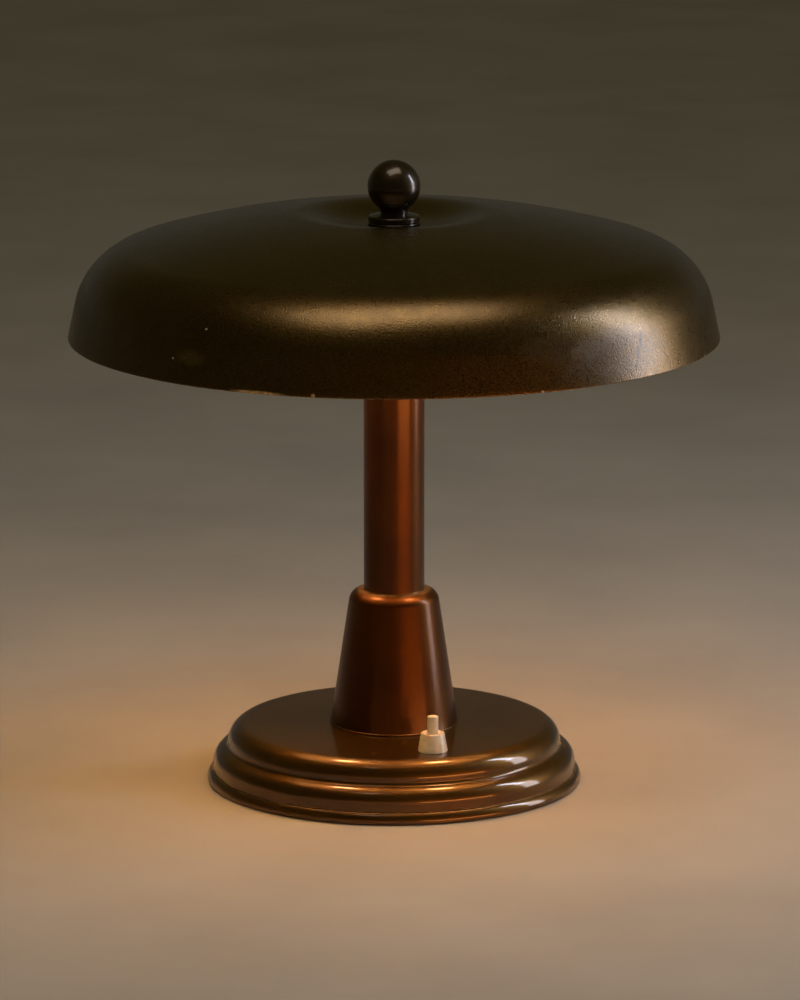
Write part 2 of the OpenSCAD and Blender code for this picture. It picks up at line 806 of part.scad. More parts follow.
function shade_face(inset, dish_steps = 10) = concat(
    [[shade_d / 2 - inset / cos(skirt_lean), 0]],
    arc([shoulder_x, shoulder_z], shoulder_r - inset, skirt_lean, crown_turn, 16),
    arc([0, crown_z], crown_r - inset, crown_turn, acos(dish_d / 2 / (crown_r - inset))),
    [for (i = [dish_steps - 1:-1:0])
        let (r = (seat_d + (dish_d - seat_d) * i / dish_steps) / 2) [r, dish_z(r) - inset]],
    [[shade_hole_r, seat_rise - inset]]);

module shade() {
    color(dark_patina)
    translate([0, 0, rim_z]) turned(sheet_outline(shade_face(0), shade_face(shade_sheet)));
}

module finial_collar() {
    bead_r = collar_bead / 2;
    face_r = collar_d / 2 - collar_step;
    round_x = face_r - collar_round;
    fall = (round_x + collar_round * sin(collar_slope) - neck_r) * tan(collar_slope);
    round_z = collar_top - fall - collar_round * cos(collar_slope);
    color(dark_patina)
    turned(concat(
        [[shade_rod_r + thread_gap, collar_under]],
        arc([collar_d / 2 - bead_r, collar_under + bead_r], bead_r, -90, 90, 8),
        [[face_r, collar_under + collar_bead + bead_r - collar_step]],
        arc([round_x, round_z], collar_round, 0, 90 - collar_slope, 6),
        [[neck_r, collar_top], [shade_rod_r + thread_gap, collar_top]]));
}

module finial_ball() {
    color(dark_patina)
    turned(concat(
        [[shade_rod_r + thread_gap, collar_top], [neck_r, collar_top]],
        arc([neck_r + neck_fillet, neck_mid], neck_fillet, 180, 180 - neck_turn, 6),
        arc([0, ball_mid], ball_r, -neck_turn, 90, 24),
        [[0, finial_bore_top], [shade_rod_r + thread_gap, finial_bore_top]]));
}

// Push-button switch

module switch_bezel() {
    edge_r = bezel_top_d / 2 - bezel_round;
    color(ivory)
    at_switch()
        turned(concat(
            [[bush_r + thread_gap, base_h], [bezel_d / 2, base_h]],
            arc([edge_r, bezel_top - bezel_round], bezel_round, 0, 90, 4),
            [[bezel_hole_d / 2, bezel_top - bezel_dish], [bezel_hole_d / 2, bush_top],
             [bush_r + thread_gap, bush_top]]));
}

module switch_button() {
    button_top = bezel_top + button_out;
    color(ivory)
    at_switch()
        turned(concat(
            [[0, button_end], [button_r, button_end], [button_r, bridge_top],
             [stop_d / 2, bridge_top], [stop_d / 2, stop_top], [button_r, stop_top]],
            arc([button_r - button_round, button_top - button_round], button_round, 0, 90, 4),
            [[0, button_top]]));
}

module switch_bush() {
    color(bare_brass)
    at_switch()
        turned([[button_r + running_gap, flange_under], [bush_flange_d / 2, flange_under],
            [bush_flange_d / 2, chamber_top], [bush_r, chamber_top], [bush_r, bush_top],
            [button_r + running_gap, bush_top]]);
}

module switch_locknut() {
    color(bare_brass) at_switch() hex_nut(locknut_af, bush_r + thread_gap, locknut_under, top_under);
}

module switch_housing() {
    color(bakelite)
    at_switch()
        turned([[bush_r + slip_gap, chamber_top], [chamber_r, chamber_top], [chamber_r, chamber_floor],
            [housing_d / 2, chamber_floor], [housing_d / 2, housing_top], [bush_r + slip_gap, housing_top]]);
}

// Places a piece at each of the switch's two poles, on the switch base's top
module at_poles() {
    for (end = [-1, 1]) translate([end * post_offset, 0, chamber_floor]) children();
}

module switch_base() {
    color(bakelite)
    at_switch()
        difference() {
            translate([0, 0, chamber_floor - switch_base_t]) cylinder(d = housing_d, h = switch_base_t);
            at_poles()
                translate([0, 0, -2 * switch_base_t])
                    cylinder(d = terminal_d + 2 * thread_gap, h = 3 * switch_base_t);
        }
}

module switch_contacts() {
    color(bare_brass)
    at_switch()
        at_poles()
            translate([-post_w / 2, -post_w / 2, 0]) cube([post_w, post_w, post_top - chamber_floor]);
}

module switch_terminals() {
    color(bare_brass)
    at_switch()
        at_poles()
            translate([0, 0, -switch_base_t]) rotate([180, 0, 0])
                cheese_screw(terminal_d, switch_base_t, terminal_head_d, terminal_head_h);
}

module switch_bridge() {
    color(bare_brass) at_switch() ring(button_r + thread_gap, bridge_d / 2, bridge_under, bridge_top);
}

// Round wire wound up a helix, with its ends just inside the two seats
module switch_spring() {
    sides = 6;
    rings_per_turn = 10;
    rings = spring_turns * rings_per_turn;
    pitch = (spring_len - spring_wire - 2 * thread_gap) / spring_turns;
    bottom = chamber_floor + spring_wire / 2 + thread_gap;
    echo(spring_gap = pitch - spring_wire);
    points = [
        for (i = [0:rings], j = [0:sides - 1])
            let (turn = 360 * i / rings_per_turn,
                around = 360 * j / sides,
                r = spring_d / 2 + spring_wire / 2 * cos(around))
            [r * cos(turn), r * sin(turn),
             bottom + pitch * i / rings_per_turn + spring_wire / 2 * sin(around)]];
    walls = [
        for (i = [0:rings - 1], j = [0:sides - 1])
            let (here = i * sides, next = here + sides, k = (j + 1) % sides)
            each [[here + j, next + j, next + k], [here + j, next + k, here + k]]];
    ends = [
        for (j = [1:sides - 2])
            each [[0, j, j + 1], rings * sides * [1, 1, 1] + [0, j + 1, j]]];
    color(steel) at_switch() polyhedron(points, concat(walls, ends));
}

base_shell();
foot_ring();
ballast_weight();
bottom_plate();
plate_screws();
felt_pad();
cord_bush();
bush_nut();
cone_collar();
stem_tube();
stem_plug();
stem_rod();
rod_washer();
rod_nut();
cluster_body();
cluster_lid();
shade_rod();
shade_nut();
shade_washer();
holder_nipple(left);  // left_holder_nipple
holder_cap(left);  // left_holder_cap
holder_shell(left);  // left_holder_shell
holder_core(left);  // left_holder_core
holder_sleeve(left);  // left_holder_sleeve
holder_contact(left);  // left_holder_contact
holder_screws(left);  // left_holder_screws
holder_nipple(right);  // right_holder_nipple
holder_cap(right);  // right_holder_cap
holder_shell(right);  // right_holder_shell
holder_core(right);  // right_holder_core
holder_sleeve(right);  // right_holder_sleeve
holder_contact(right);  // right_holder_contact
holder_screws(right);  // right_holder_screws
bulb_glass(left);  // left_bulb_glass
bulb_cap(left);  // left_bulb_cap
bulb_insulator(left);  // left_bulb_insulator
bulb_contact(left);  // left_bulb_contact
bulb_glass(right);  // right_bulb_glass
bulb_cap(right);  // right_bulb_cap
bulb_insulator(right);  // right_bulb_insulator
bulb_contact(right);  // right_bulb_contact
shade();
finial_collar();
finial_ball();
switch_bezel();
switch_button();
switch_bush();
switch_locknut();
switch_housing();
switch_base();
switch_contacts();
switch_terminals();
switch_bridge();
switch_spring();
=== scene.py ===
"""Looks of the brass table lamp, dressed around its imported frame: metres, +Z up, front towards -Y."""
import json
import math

import bmesh
import bpy
from mathutils import Matrix, Quaternion, Vector, noise


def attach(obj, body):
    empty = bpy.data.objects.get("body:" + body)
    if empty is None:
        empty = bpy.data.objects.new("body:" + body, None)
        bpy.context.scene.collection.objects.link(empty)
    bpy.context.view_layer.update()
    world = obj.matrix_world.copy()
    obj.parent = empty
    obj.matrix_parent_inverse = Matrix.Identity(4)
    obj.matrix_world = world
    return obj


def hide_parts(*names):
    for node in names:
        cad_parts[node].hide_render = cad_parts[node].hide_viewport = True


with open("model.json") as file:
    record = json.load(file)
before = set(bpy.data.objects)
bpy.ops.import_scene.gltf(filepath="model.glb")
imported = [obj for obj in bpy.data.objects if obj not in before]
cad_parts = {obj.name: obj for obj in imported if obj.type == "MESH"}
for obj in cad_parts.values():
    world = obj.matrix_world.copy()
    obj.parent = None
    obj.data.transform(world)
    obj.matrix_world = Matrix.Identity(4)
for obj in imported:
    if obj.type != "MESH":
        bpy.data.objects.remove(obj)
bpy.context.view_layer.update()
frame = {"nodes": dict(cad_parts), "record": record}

MM = 0.001


def span(node, axis):
    """Lowest and highest place of a CAD piece along x, y or z, in mm."""
    places = [vert.co["xyz".index(axis)] / MM for vert in frame["nodes"][node].data.vertices]
    return round(min(places), 3), round(max(places), 3)


# Sizes in mm that the frame gives
BASE_R = span("base_shell", "x")[1]
JOINT_Z, BASE_TOP = span("base_shell", "z")
FOOT_UNDER, SPIGOT_TOP = span("foot_ring", "z")
PLATE_R = span("bottom_plate", "x")[1]
FELT_T, PLATE_TOP = span("bottom_plate", "z")
STEM_R = span("stem_tube", "x")[1]
STEM_TOP = span("stem_tube", "z")[1]
STEM_ROD_R = span("stem_rod", "x")[1]
CONE_TOP = span("cone_collar", "z")[1]
LID_BOTTOM = span("cluster_body", "z")[1]
CLUSTER_TOP = span("cluster_lid", "z")[1]
LAMP_Z = sum(span("right_holder_cap", "z")) / 2
HOLDER_R = span("right_holder_cap", "z")[1] - LAMP_Z
RIM_Z = span("shade", "z")[0]
SHADE_R = span("shade", "x")[1]
ROD_R = span("shade_rod", "x")[1]
ROD_BOTTOM = span("shade_rod", "z")[0]
NUT_FLAT_R = span("shade_nut", "y")[1]
NUT_BOTTOM, NUT_TOP = span("shade_nut", "z")
WASHER_R = span("shade_washer", "x")[1]
WASHER_TOP = span("shade_washer", "z")[1]
COLLAR_R = span("finial_collar", "x")[1]
COLLAR_UNDER, COLLAR_TOP = span("finial_collar", "z")
SWITCH_X = sum(span("switch_contacts", "x")) / 2
SWITCH_Y = sum(span("switch_contacts", "y")) / 2
BEZEL_R = span("switch_bezel", "x")[1] - SWITCH_X
BEZEL_TOP = span("switch_bezel", "z")[1]
BUTTON_END, BUTTON_TOP = span("switch_button", "z")
STOP_R = span("switch_button", "x")[1] - SWITCH_X
STOP_UNDER = span("switch_bridge", "z")[1]
INLET_FLANGE_R = span("cord_bush", "x")[1]
INLET_IN, INLET_OUT = span("cord_bush", "y")
INLET_Z = sum(span("cord_bush", "z")) / 2

# Sizes in mm that no box of the frame gives, as in the part's source
UPPER_R, LEDGE_Z, BASE_SHEET = 98.1, 20.5, 1.2
LOWER_ROUND, UPPER_ROUND, STEP_FILLET = 9.0, 10.5, 2.5
FOOT_R, FOOT_ROUND, FOOT_BELLY_Z, PLATE_LEDGE = 110.3, 5.8, 1.8, 4.3
STEM_WALL = 1.2
CONE_R, CONE_TOP_R, CONE_SHOULDER, CONE_LIP = 37.4, 25.6, 7.5, 0.6
CLUSTER_BORE_R, CLUSTER_FLOOR, LID_ROUND = 13.8, 6.0, 3.0
BOSS_R, BOSS_START, HOLDER_TURN = 8.5, 15.0, -12.0
NIPPLE_R, CAP_BACK_R, CAP_BORE_R, CAP_FLOOR = 5.0, 9.0, 12.5, 3.0
CAP_START, CAP_END, SHELL_END = 20.0, 31.0, 56.0
SHELL_BORE_R, SHELL_MOUTH_R, SHELL_LIP, SHELL_ROUND = 13.6, 8.41, 0.9, 1.0
BULB_CAP_R, BULB_CAP_START, BULB_CAP_END, BULB_CAP_SUNK = 6.95, 42.1, 57.1, 1.0
BULB_THREAD_START, BULB_THREAD_PITCH, BULB_THREAD_DEPTH, BULB_THREAD_TURNS = 1.2, 2.8, 0.56, 4
GLASS_NECK_R, GLASS_FLARE, GLASS_SUNK, GLOBE_R, GLOBE_MID = 6.4, 10.0, 6.0, 22.5, 85.1
SKIRT_LEAN, SKIRT_LEN, SHOULDER_R, CROWN_R = 12.0, 21.0, 44.2, 554.0
DISH_DEPTH, DISH_R, SEAT_R, SHADE_SHEET = 9.8, 60.0, 20.0, 1.2
COLLAR_BEAD, COLLAR_STEP, COLLAR_ROUND, COLLAR_SLOPE = 1.4, 0.2, 0.9, 11.5
BALL_R, NECK_R, NECK_H, NECK_FILLET = 15.4, 8.0, 0.2, 4.6
ROD_TOP, ROD_THREAD_DEPTH, ROD_THREAD_PITCH, ROD_THREAD_TURNS = 352.8, 0.35, 1.2, 40
NUT_CHAMFER_IN, NUT_CHAMFER_H, WASHER_ROUND = 0.3, 0.75, 0.5
SWITCH_BUSH_R, BEZEL_TOP_R, BEZEL_HOLE_R, BEZEL_ROUND = 5.0, 6.95, 4.3, 0.65
BEZEL_DISH, BEZEL_FACE = 1.5, 3.5
BUTTON_R, BUTTON_ROUND, BUTTON_FLAT_R, STOP_T = 3.25, 0.5, 1.6, 1.5
INLET_BORE_R, INLET_R, INLET_FACE = 2.75, 3.75, 107.1
INLET_ROUND, INLET_MOUTH_ROUND = 0.8, 0.6

# Small gaps between pieces and eased corners, in mm
THREAD_GAP, ROD_GAP, SLIP_GAP, PLATE_GAP = 0.05, 0.06, 0.15, 0.3
FINE_EASE, EASE, WIDE_EASE = 0.3, 0.4, 0.5

# Sockets of a Mix node that mixes colours
SHARE, FIRST, SECOND, MIXED = 0, 6, 7, 2

RUBBED_BRASS = "#C9A877"


def linear(hex_colour):
    """An sRGB hex colour as linear red, green, blue and alpha."""
    parts = [int(hex_colour[i:i + 2], 16) / 255 for i in (1, 3, 5)]
    return [c / 12.92 if c <= 0.04045 else ((c + 0.055) / 1.055) ** 2.4 for c in parts] + [1.0]


def add_node(tree, kind, sockets=None, out=0, **settings):
    """Adds a node with its settings, sets or links its sockets, and gives back one of its outputs."""
    node = tree.nodes.new("ShaderNode" + kind)
    for name, value in settings.items():
        setattr(node, name, value)
    for socket, value in (sockets or {}).items():
        if isinstance(value, bpy.types.NodeSocket):
            tree.links.new(value, node.inputs[socket])
        else:
            node.inputs[socket].default_value = value
    return node.outputs[out] if node.outputs else None


def new_finish(name):
    """An empty material, its node tree and the piece's own coordinates in metres."""
    finish = bpy.data.materials.new(name)
    finish.use_nodes = True
    finish.node_tree.nodes.clear()
    return finish, finish.node_tree, add_node(finish.node_tree, "TexCoord", out="Object")


def close_finish(tree, sockets):
    """Ends a material with its shader."""
    shader = add_node(tree, "BsdfPrincipled", sockets)
    add_node(tree, "OutputMaterial", {"Surface": shader})


def speckle(tree, coords, size_mm, low, high, detail=2.0, **more):
    """Spots of about size_mm, stretched from low to high."""
    spots = add_node(tree, "TexNoise",
                     {"Vector": coords, "Scale": 1 / (size_mm * MM), "Detail": detail, **more})
    return add_node(tree, "MapRange",
                    {"Value": spots, "From Min": 0.3, "From Max": 0.7, "To Min": low, "To Max": high})


def patinated_brass(name, dark, light, stain, glint, stained, rough, coat, coat_rough, metal, pitting,
                    worn_rings=(), marks=()):
    """Spun brass under a chemical patina and a thin wax coat: clouded dark metal with fine lathe rings, a
    speckled satin sheen, water stains, and bare brass where hands and cloths have rubbed it through.
    The patina clouds from dark to light, stain covers up to the share stained, and glint lies between the
    pits. worn_rings are (height, half width, share), marks are (centre, radii, colour, share), in mm."""
    finish, tree, coords = new_finish(name)
    height = add_node(tree, "SeparateXYZ", {0: coords}, "Z")
    across = add_node(tree, "VectorMath", {0: coords, 1: (1, 1, 0)}, operation="MULTIPLY")
    radius = add_node(tree, "VectorMath", {0: across}, "Value", operation="LENGTH")
    clouds = speckle(tree, coords, 48, 0.0, 1.0, detail=5.0)
    water = speckle(tree, coords, 9, 0.0, 1.0, detail=6.0, Roughness=0.7, Distortion=0.5)
    # Real pits and lathe rings are some tenths of a mm, too fine to show, so both are drawn coarser
    pit_mm, ring_mm = 0.9, 1.4
    pits = speckle(tree, coords, pit_mm, 0.0, 1.0)
    rings = add_node(tree, "TexNoise", {"W": radius, "Scale": 1 / (ring_mm * MM), "Detail": 3.0},
                     noise_dimensions="1D")
    colour = add_node(tree, "Mix", {SHARE: clouds, FIRST: linear(dark), SECOND: linear(light)}, MIXED,
                      data_type="RGBA")
    soaked = add_node(tree, "Math", {0: water, 1: stained}, operation="MULTIPLY")
    colour = add_node(tree, "Mix", {SHARE: soaked, FIRST: colour, SECOND: linear(stain)}, MIXED,
                      data_type="RGBA")
    bare = add_node(tree, "Math", {0: pits, 1: 0.5 * pitting}, operation="MULTIPLY")
    colour = add_node(tree, "Mix", {SHARE: bare, FIRST: colour, SECOND: linear(glint)}, MIXED,
                      data_type="RGBA")
    satin = speckle(tree, coords, pit_mm, rough - 0.05 * pitting, rough + 0.07 * pitting)
    dulled = add_node(tree, "Math", {0: water, 1: 0.09 * pitting}, operation="MULTIPLY")
    sheen = add_node(tree, "Math", {0: satin, 1: dulled}, operation="ADD")
    for ring_z, half_width, share in worn_rings:
        above = add_node(tree, "Math", {0: height, 1: ring_z * MM}, operation="SUBTRACT")
        off = add_node(tree, "Math", {0: above}, operation="ABSOLUTE")
        near = add_node(tree, "MapRange", {"Value": off, "From Min": half_width * MM, "From Max": 0.0,
                                           "To Max": share})
        patchy = add_node(tree, "Math", {0: near, 1: speckle(tree, coords, 5, 0.5, 1.5, detail=4.0)},
                          operation="MULTIPLY", use_clamp=True)
        colour = add_node(tree, "Mix", {SHARE: patchy, FIRST: colour, SECOND: linear(RUBBED_BRASS)}, MIXED,
                          data_type="RGBA")
    for centre, radii, mark_colour, share in marks:
        away = add_node(tree, "VectorMath", {0: coords, 1: [c * MM for c in centre]}, operation="SUBTRACT")
        scaled = add_node(tree, "VectorMath", {0: away, 1: [1 / (r * MM) for r in radii]},
                          operation="MULTIPLY")
        distance = add_node(tree, "VectorMath", {0: scaled}, "Value", operation="LENGTH")
        spot = add_node(tree, "MapRange", {"Value": distance, "From Min": 1.0, "From Max": 0.5,
                                           "To Max": share})
        patchy = add_node(tree, "Math", {0: spot, 1: speckle(tree, coords, 2.2, 0.3, 1.3, detail=4.0)},
                          operation="MULTIPLY", use_clamp=True)
        colour = add_node(tree, "Mix", {SHARE: patchy, FIRST: colour, SECOND: linear(mark_colour)}, MIXED,
                          data_type="RGBA")
        unmarked = add_node(tree, "Math", {0: 1.0, 1: patchy}, operation="SUBTRACT")
        metal = add_node(tree, "Math", {0: metal, 1: unmarked}, operation="MULTIPLY")
    lathe = add_node(tree, "Bump", {"Strength": 0.35, "Distance": 0.02 * MM, "Height": rings})
    skin = add_node(tree, "Bump", {"Strength": pitting, "Distance": 0.07 * MM, "Height": pits,
                                   "Normal": lathe})
    close_finish(tree, {"Base Color": colour, "Metallic": metal, "Roughness": sheen, "Normal": skin,
                        "Coat Weight": coat, "Coat Roughness": coat_rough, "Coat Normal": skin})
    return finish


def plain_metal(name, dark, light, rough, grain_mm):
    """Turned or cast metal: dull, finely speckled, darker in patches where it has tarnished. Its grain is
    drawn coarser than real, so that it shows."""
    finish, tree, coords = new_finish(name)
    tarnish = speckle(tree, coords, 7, 0.0, 1.0, detail=5.0)
    grain = speckle(tree, coords, grain_mm, 0.0, 1.0, detail=3.0)
    colour = add_node(tree, "Mix", {SHARE: tarnish, FIRST: linear(light), SECOND: linear(dark)}, MIXED,
                      data_type="RGBA")
    satin = speckle(tree, coords, grain_mm, rough - 0.06, rough + 0.08)
    dulled = add_node(tree, "Math", {0: tarnish, 1: 0.1}, operation="MULTIPLY")
    sheen = add_node(tree, "Math", {0: satin, 1: dulled}, operation="ADD")
    skin = add_node(tree, "Bump", {"Strength": 0.4, "Distance": 0.03 * MM, "Height": grain})
    close_finish(tree, {"Base Color": colour, "Metallic": 1.0, "Roughness": sheen, "Normal": skin})
    return finish


def moulded(name, dark, light, rough, coat, clouds_mm, soft=0.0):
    """Moulded plastic or glazed ware: even colour with faint clouds, specks of dirt and a soft gloss."""
    finish, tree, coords = new_finish(name)
    clouds = speckle(tree, coords, clouds_mm, 0.0, 1.0, detail=4.0)
    dirt = speckle(tree, coords, 0.7, -1.6, 1.0, detail=3.0)
    colour = add_node(tree, "Mix", {SHARE: clouds, FIRST: linear(light), SECOND: linear(dark)}, MIXED,
                      data_type="RGBA")
    specks = add_node(tree, "Math", {0: dirt, 1: 0.5}, operation="MULTIPLY", use_clamp=True)
    colour = add_node(tree, "Mix", {SHARE: specks, FIRST: colour, SECOND: linear(dark)}, MIXED,
                      data_type="RGBA")
    sheen = speckle(tree, coords, 1.5, rough - 0.05, rough + 0.08)
    skin = add_node(tree, "Bump", {"Strength": 0.3, "Distance": 0.02 * MM, "Height": dirt})
    close_finish(tree, {"Base Color": colour, "Roughness": sheen, "Normal": skin, "Coat Weight": coat,
                        "Coat Roughness": 0.2, "Subsurface Weight": soft, "Subsurface Scale": 2 * MM})
    return finish


def pressed_felt(name):
    """Pressed wool felt: matt, fibrous, mottled green with a faint fuzz at its edge. Its fibres are drawn
    as tufts of about 1 mm, because single ones are too fine to show."""
    finish, tree, coords = new_finish(name)
    fibres = speckle(tree, coords, 1.1, 0.0, 1.0, detail=6.0, Distortion=1.5)
    clouds = speckle(tree, coords, 18, 0.0, 1.0, detail=3.0)
    colour = add_node(tree, "Mix", {SHARE: fibres, FIRST: linear("#26331F"), SECOND: linear("#43553A")},
                      MIXED, data_type="RGBA")
    faded = add_node(tree, "Math", {0: clouds, 1: 0.4}, operation="MULTIPLY")
    colour = add_node(tree, "Mix", {SHARE: faded, FIRST: colour, SECOND: linear("#4D5640")}, MIXED,
                      data_type="RGBA")
    skin = add_node(tree, "Bump", {"Strength": 0.8, "Distance": 0.25 * MM, "Height": fibres})
    close_finish(tree, {"Base Color": colour, "Roughness": 0.95, "Normal": skin, "Sheen Weight": 0.35,
                        "Sheen Roughness": 0.5})
    return finish


def lit_glass(name, glow):
    """Frosted bulb glass lit from inside: a warm even glow with faint clouds, under an etched bloom that
    is drawn coarser than real so that it shows."""
    finish, tree, coords = new_finish(name)
    frosting = speckle(tree, coords, 0.8, 0.0, 1.0, detail=3.0)
    bloom = speckle(tree, coords, 14, 0.0, 1.0, detail=2.0)
    colour = add_node(tree, "Mix", {SHARE: frosting, FIRST: linear("#FFF0DA"), SECOND: linear("#F3DDBB")},
                      MIXED, data_type="RGBA")
    light = add_node(tree, "Mix", {SHARE: bloom, FIRST: linear("#FFC584"), SECOND: linear("#FFB86C")},
                     MIXED, data_type="RGBA")
    skin = add_node(tree, "Bump", {"Strength": 0.3, "Distance": 0.02 * MM, "Height": frosting})
    close_finish(tree, {"Base Color": colour, "Roughness": 0.45, "Normal": skin,
                        "Emission Color": light, "Emission Strength": glow})
    return finish


def painted_floor(name):
    """Matt pale studio paint, rolled on in faint clouds."""
    finish, tree, coords = new_finish(name)
    clouds = speckle(tree, coords, 160, 0.0, 1.0, detail=4.0)
    colour = add_node(tree, "Mix", {SHARE: clouds, FIRST: linear("#A5A29A"), SECOND: linear("#AFACA4")},
                      MIXED, data_type="RGBA")
    close_finish(tree, {"Base Color": colour, "Roughness": 0.9, "Specular IOR Level": 0.0})
    return finish


def arc(centre, radius, start, end, steps):
    """Points along an arc about centre, from one angle to another in degrees."""
    angles = [math.radians(start + (end - start) * i / steps) for i in range(steps + 1)]
    return [(centre[0] + radius * math.cos(a), centre[1] + radius * math.sin(a)) for a in angles]


def turned(outline, steps, closed=True):
    """A piece turned on the lathe about its own Z, from an outline of (radius, height) points in mm."""
    mesh = bmesh.new()
    points = [mesh.verts.new((r * MM, 0, z * MM)) for r, z in outline]
    runs = list(zip(points, points[1:]))
    if closed:
        runs.append((points[-1], points[0]))
    edges = [mesh.edges.new(run) for run in runs]
    bmesh.ops.spin(mesh, geom=points + edges, axis=(0, 0, 1), cent=(0, 0, 0), angle=2 * math.pi,
                   steps=steps, use_merge=True)
    bmesh.ops.remove_doubles(mesh, verts=mesh.verts, dist=0.001 * MM)
    bmesh.ops.recalc_face_normals(mesh, faces=mesh.faces)
    return mesh


def placed(mesh, matrix):
    """The mesh moved to its place in the lamp."""
    bmesh.ops.transform(mesh, matrix=matrix, verts=mesh.verts)
    return mesh


def joined(*meshes):
    """Several meshes as one."""
    whole = bmesh.new()
    for mesh in meshes:
        held = bpy.data.meshes.new("held")
        mesh.to_mesh(held)
        mesh.free()
        whole.from_mesh(held)
        bpy.data.meshes.remove(held)
    return whole


def drilled(mesh, radius, start, end, matrix):
    """The mesh with a round hole cut through it, from start to end along the matrix's Z, in mm."""
    bit = placed(turned([(0, start), (radius, start), (radius, end), (0, end)], 48, closed=False), matrix)
    blank, cutter = [bpy.data.objects.new(name, bpy.data.meshes.new(name)) for name in ("blank", "cutter")]
    for held, shape in ((blank, mesh), (cutter, bit)):
        shape.to_mesh(held.data)
        bpy.context.scene.collection.objects.link(held)
    blank.modifiers.new("hole", "BOOLEAN").object = cutter
    bit.free()
    mesh.clear()
    mesh.from_mesh(blank.evaluated_get(bpy.context.evaluated_depsgraph_get()).to_mesh())
    for held in (blank, cutter):
        bpy.data.meshes.remove(held.data)
    return mesh


def fit_piece(name, mesh, body, finish, nodes, sharp=32):
    """Makes the mesh a piece of the lamp that rides on a body and stands for CAD nodes."""
    data = bpy.data.meshes.new(name)
    mesh.to_mesh(data)
    mesh.free()
    data.polygons.foreach_set("use_smooth", [True] * len(data.polygons))
    data.set_sharp_from_angle(angle=math.radians(sharp))
    data.materials.append(finish)
    piece = bpy.data.objects.new(name, data)
    bpy.context.scene.collection.objects.link(piece)
    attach(piece, body)
    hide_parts(*nodes)
    return piece


# Camera at the photo's angle
EYE_PLACE, EYE_FALL, EYE_TURN = (0, -3.5045, 0.9345), 12.343, -0.057
eye = bpy.data.cameras.new("eye")
eye.lens = 220.36
eye.sensor_width = 36
eye.clip_end = 60
camera = bpy.data.objects.new("eye", eye)
camera.location = EYE_PLACE
camera.rotation_euler = (math.radians(90 - EYE_FALL), 0, math.radians(EYE_TURN))
bpy.context.scene.collection.objects.link(camera)
bpy.context.scene.camera = camera

# Finishes, and the shade's marks: flecks, dust, haze, drips and chips at its rim, as (centre, radii,
# colour, share) in mm
FLECK, DRIP, DUST, HAZE = "#D8CDB8", "#0A0703", "#6E6452", "#5B5857"
shade_marks = [
    ((-104.8, -148.2, 297.7), (1.0, 1.0, 0.9), FLECK, 1.0),
    ((-123.7, -140.3, 279.7), (0.8, 0.8, 0.8), FLECK, 0.7),
    ((-113.9, -148.0, 281.2), (12, 12, 5), DUST, 0.2),
    ((124.0, -137.0, 280.0), (48, 48, 19), HAZE, 0.4),
    ((84.0, -164.0, 289.0), (20, 20, 8), DRIP, 0.4),
    ((109.4, -150.0, 286.1), (16, 16, 7), DUST, 0.5),
    ((138.6, -123.0, 287.0), (0.8, 9.0, 5.5), DRIP, 0.95),
    ((137.2, -124.8, 279.5), (0.7, 9.0, 5.0), DRIP, 0.95),
    ((136.0, -126.5, 272.5), (1.0, 9.0, 3.5), DRIP, 0.8),
    ((-76.5, -173.4, 266.6), (22, 12, 1.3), RUBBED_BRASS, 0.9),
    ((-44.8, -184.2, 266.8), (1.6, 2.0, 1.4), RUBBED_BRASS, 1.0),
    ((82.8, -171.0, 266.4), (1.2, 2.0, 1.2), RUBBED_BRASS, 1.0),
    ((144.2, -123.6, 266.6), (1.4, 1.4, 1.2), RUBBED_BRASS, 1.0),
    ((178.0, -66.0, 266.6), (1.2, 1.6, 1.2), RUBBED_BRASS, 1.0),
]
olive_patina = patinated_brass(
    "olive_patinated_spun_brass", dark="#4A3717", light="#664E25", stain="#2E2413", glint="#8A6E40",
    stained=0.55, rough=0.26, coat=0.4, coat_rough=0.18, metal=1.0, pitting=0.8,
    worn_rings=[(RIM_Z + 0.2, 0.6, 0.12)], marks=shade_marks)
ball_patina = patinated_brass(
    "dark_waxed_turned_brass", dark="#2A1F10", light="#3A2C18", stain="#1C150B", glint="#3F311C",
    stained=0.4, rough=0.42, coat=0.75, coat_rough=0.15, metal=0.9, pitting=0.2)
brown_patina = patinated_brass(
    "brown_patinated_spun_brass", dark="#4A2E0A", light="#60420F", stain="#38240A", glint="#60420F",
    stained=0.25, rough=0.38, coat=0.9, coat_rough=0.05, metal=0.85, pitting=0.1,
    worn_rings=[(JOINT_Z + 0.2, 0.5, 0.9)])
stem_patina = patinated_brass(
    "brown_waxed_tube_brass", dark="#452405", light="#5A3308", stain="#361C05", glint="#5A3308",
    stained=0.25, rough=0.37, coat=0.22, coat_rough=0.14, metal=0.92, pitting=0.1,
    worn_rings=[(CONE_TOP - 0.1, 0.6, 0.6), (BASE_TOP + 0.5, 0.7, 0.3)])
cream_enamel = moulded("aged_cream_stove_enamel", "#C8BB9C", "#E4DAC2", 0.4, 0.2, 20)
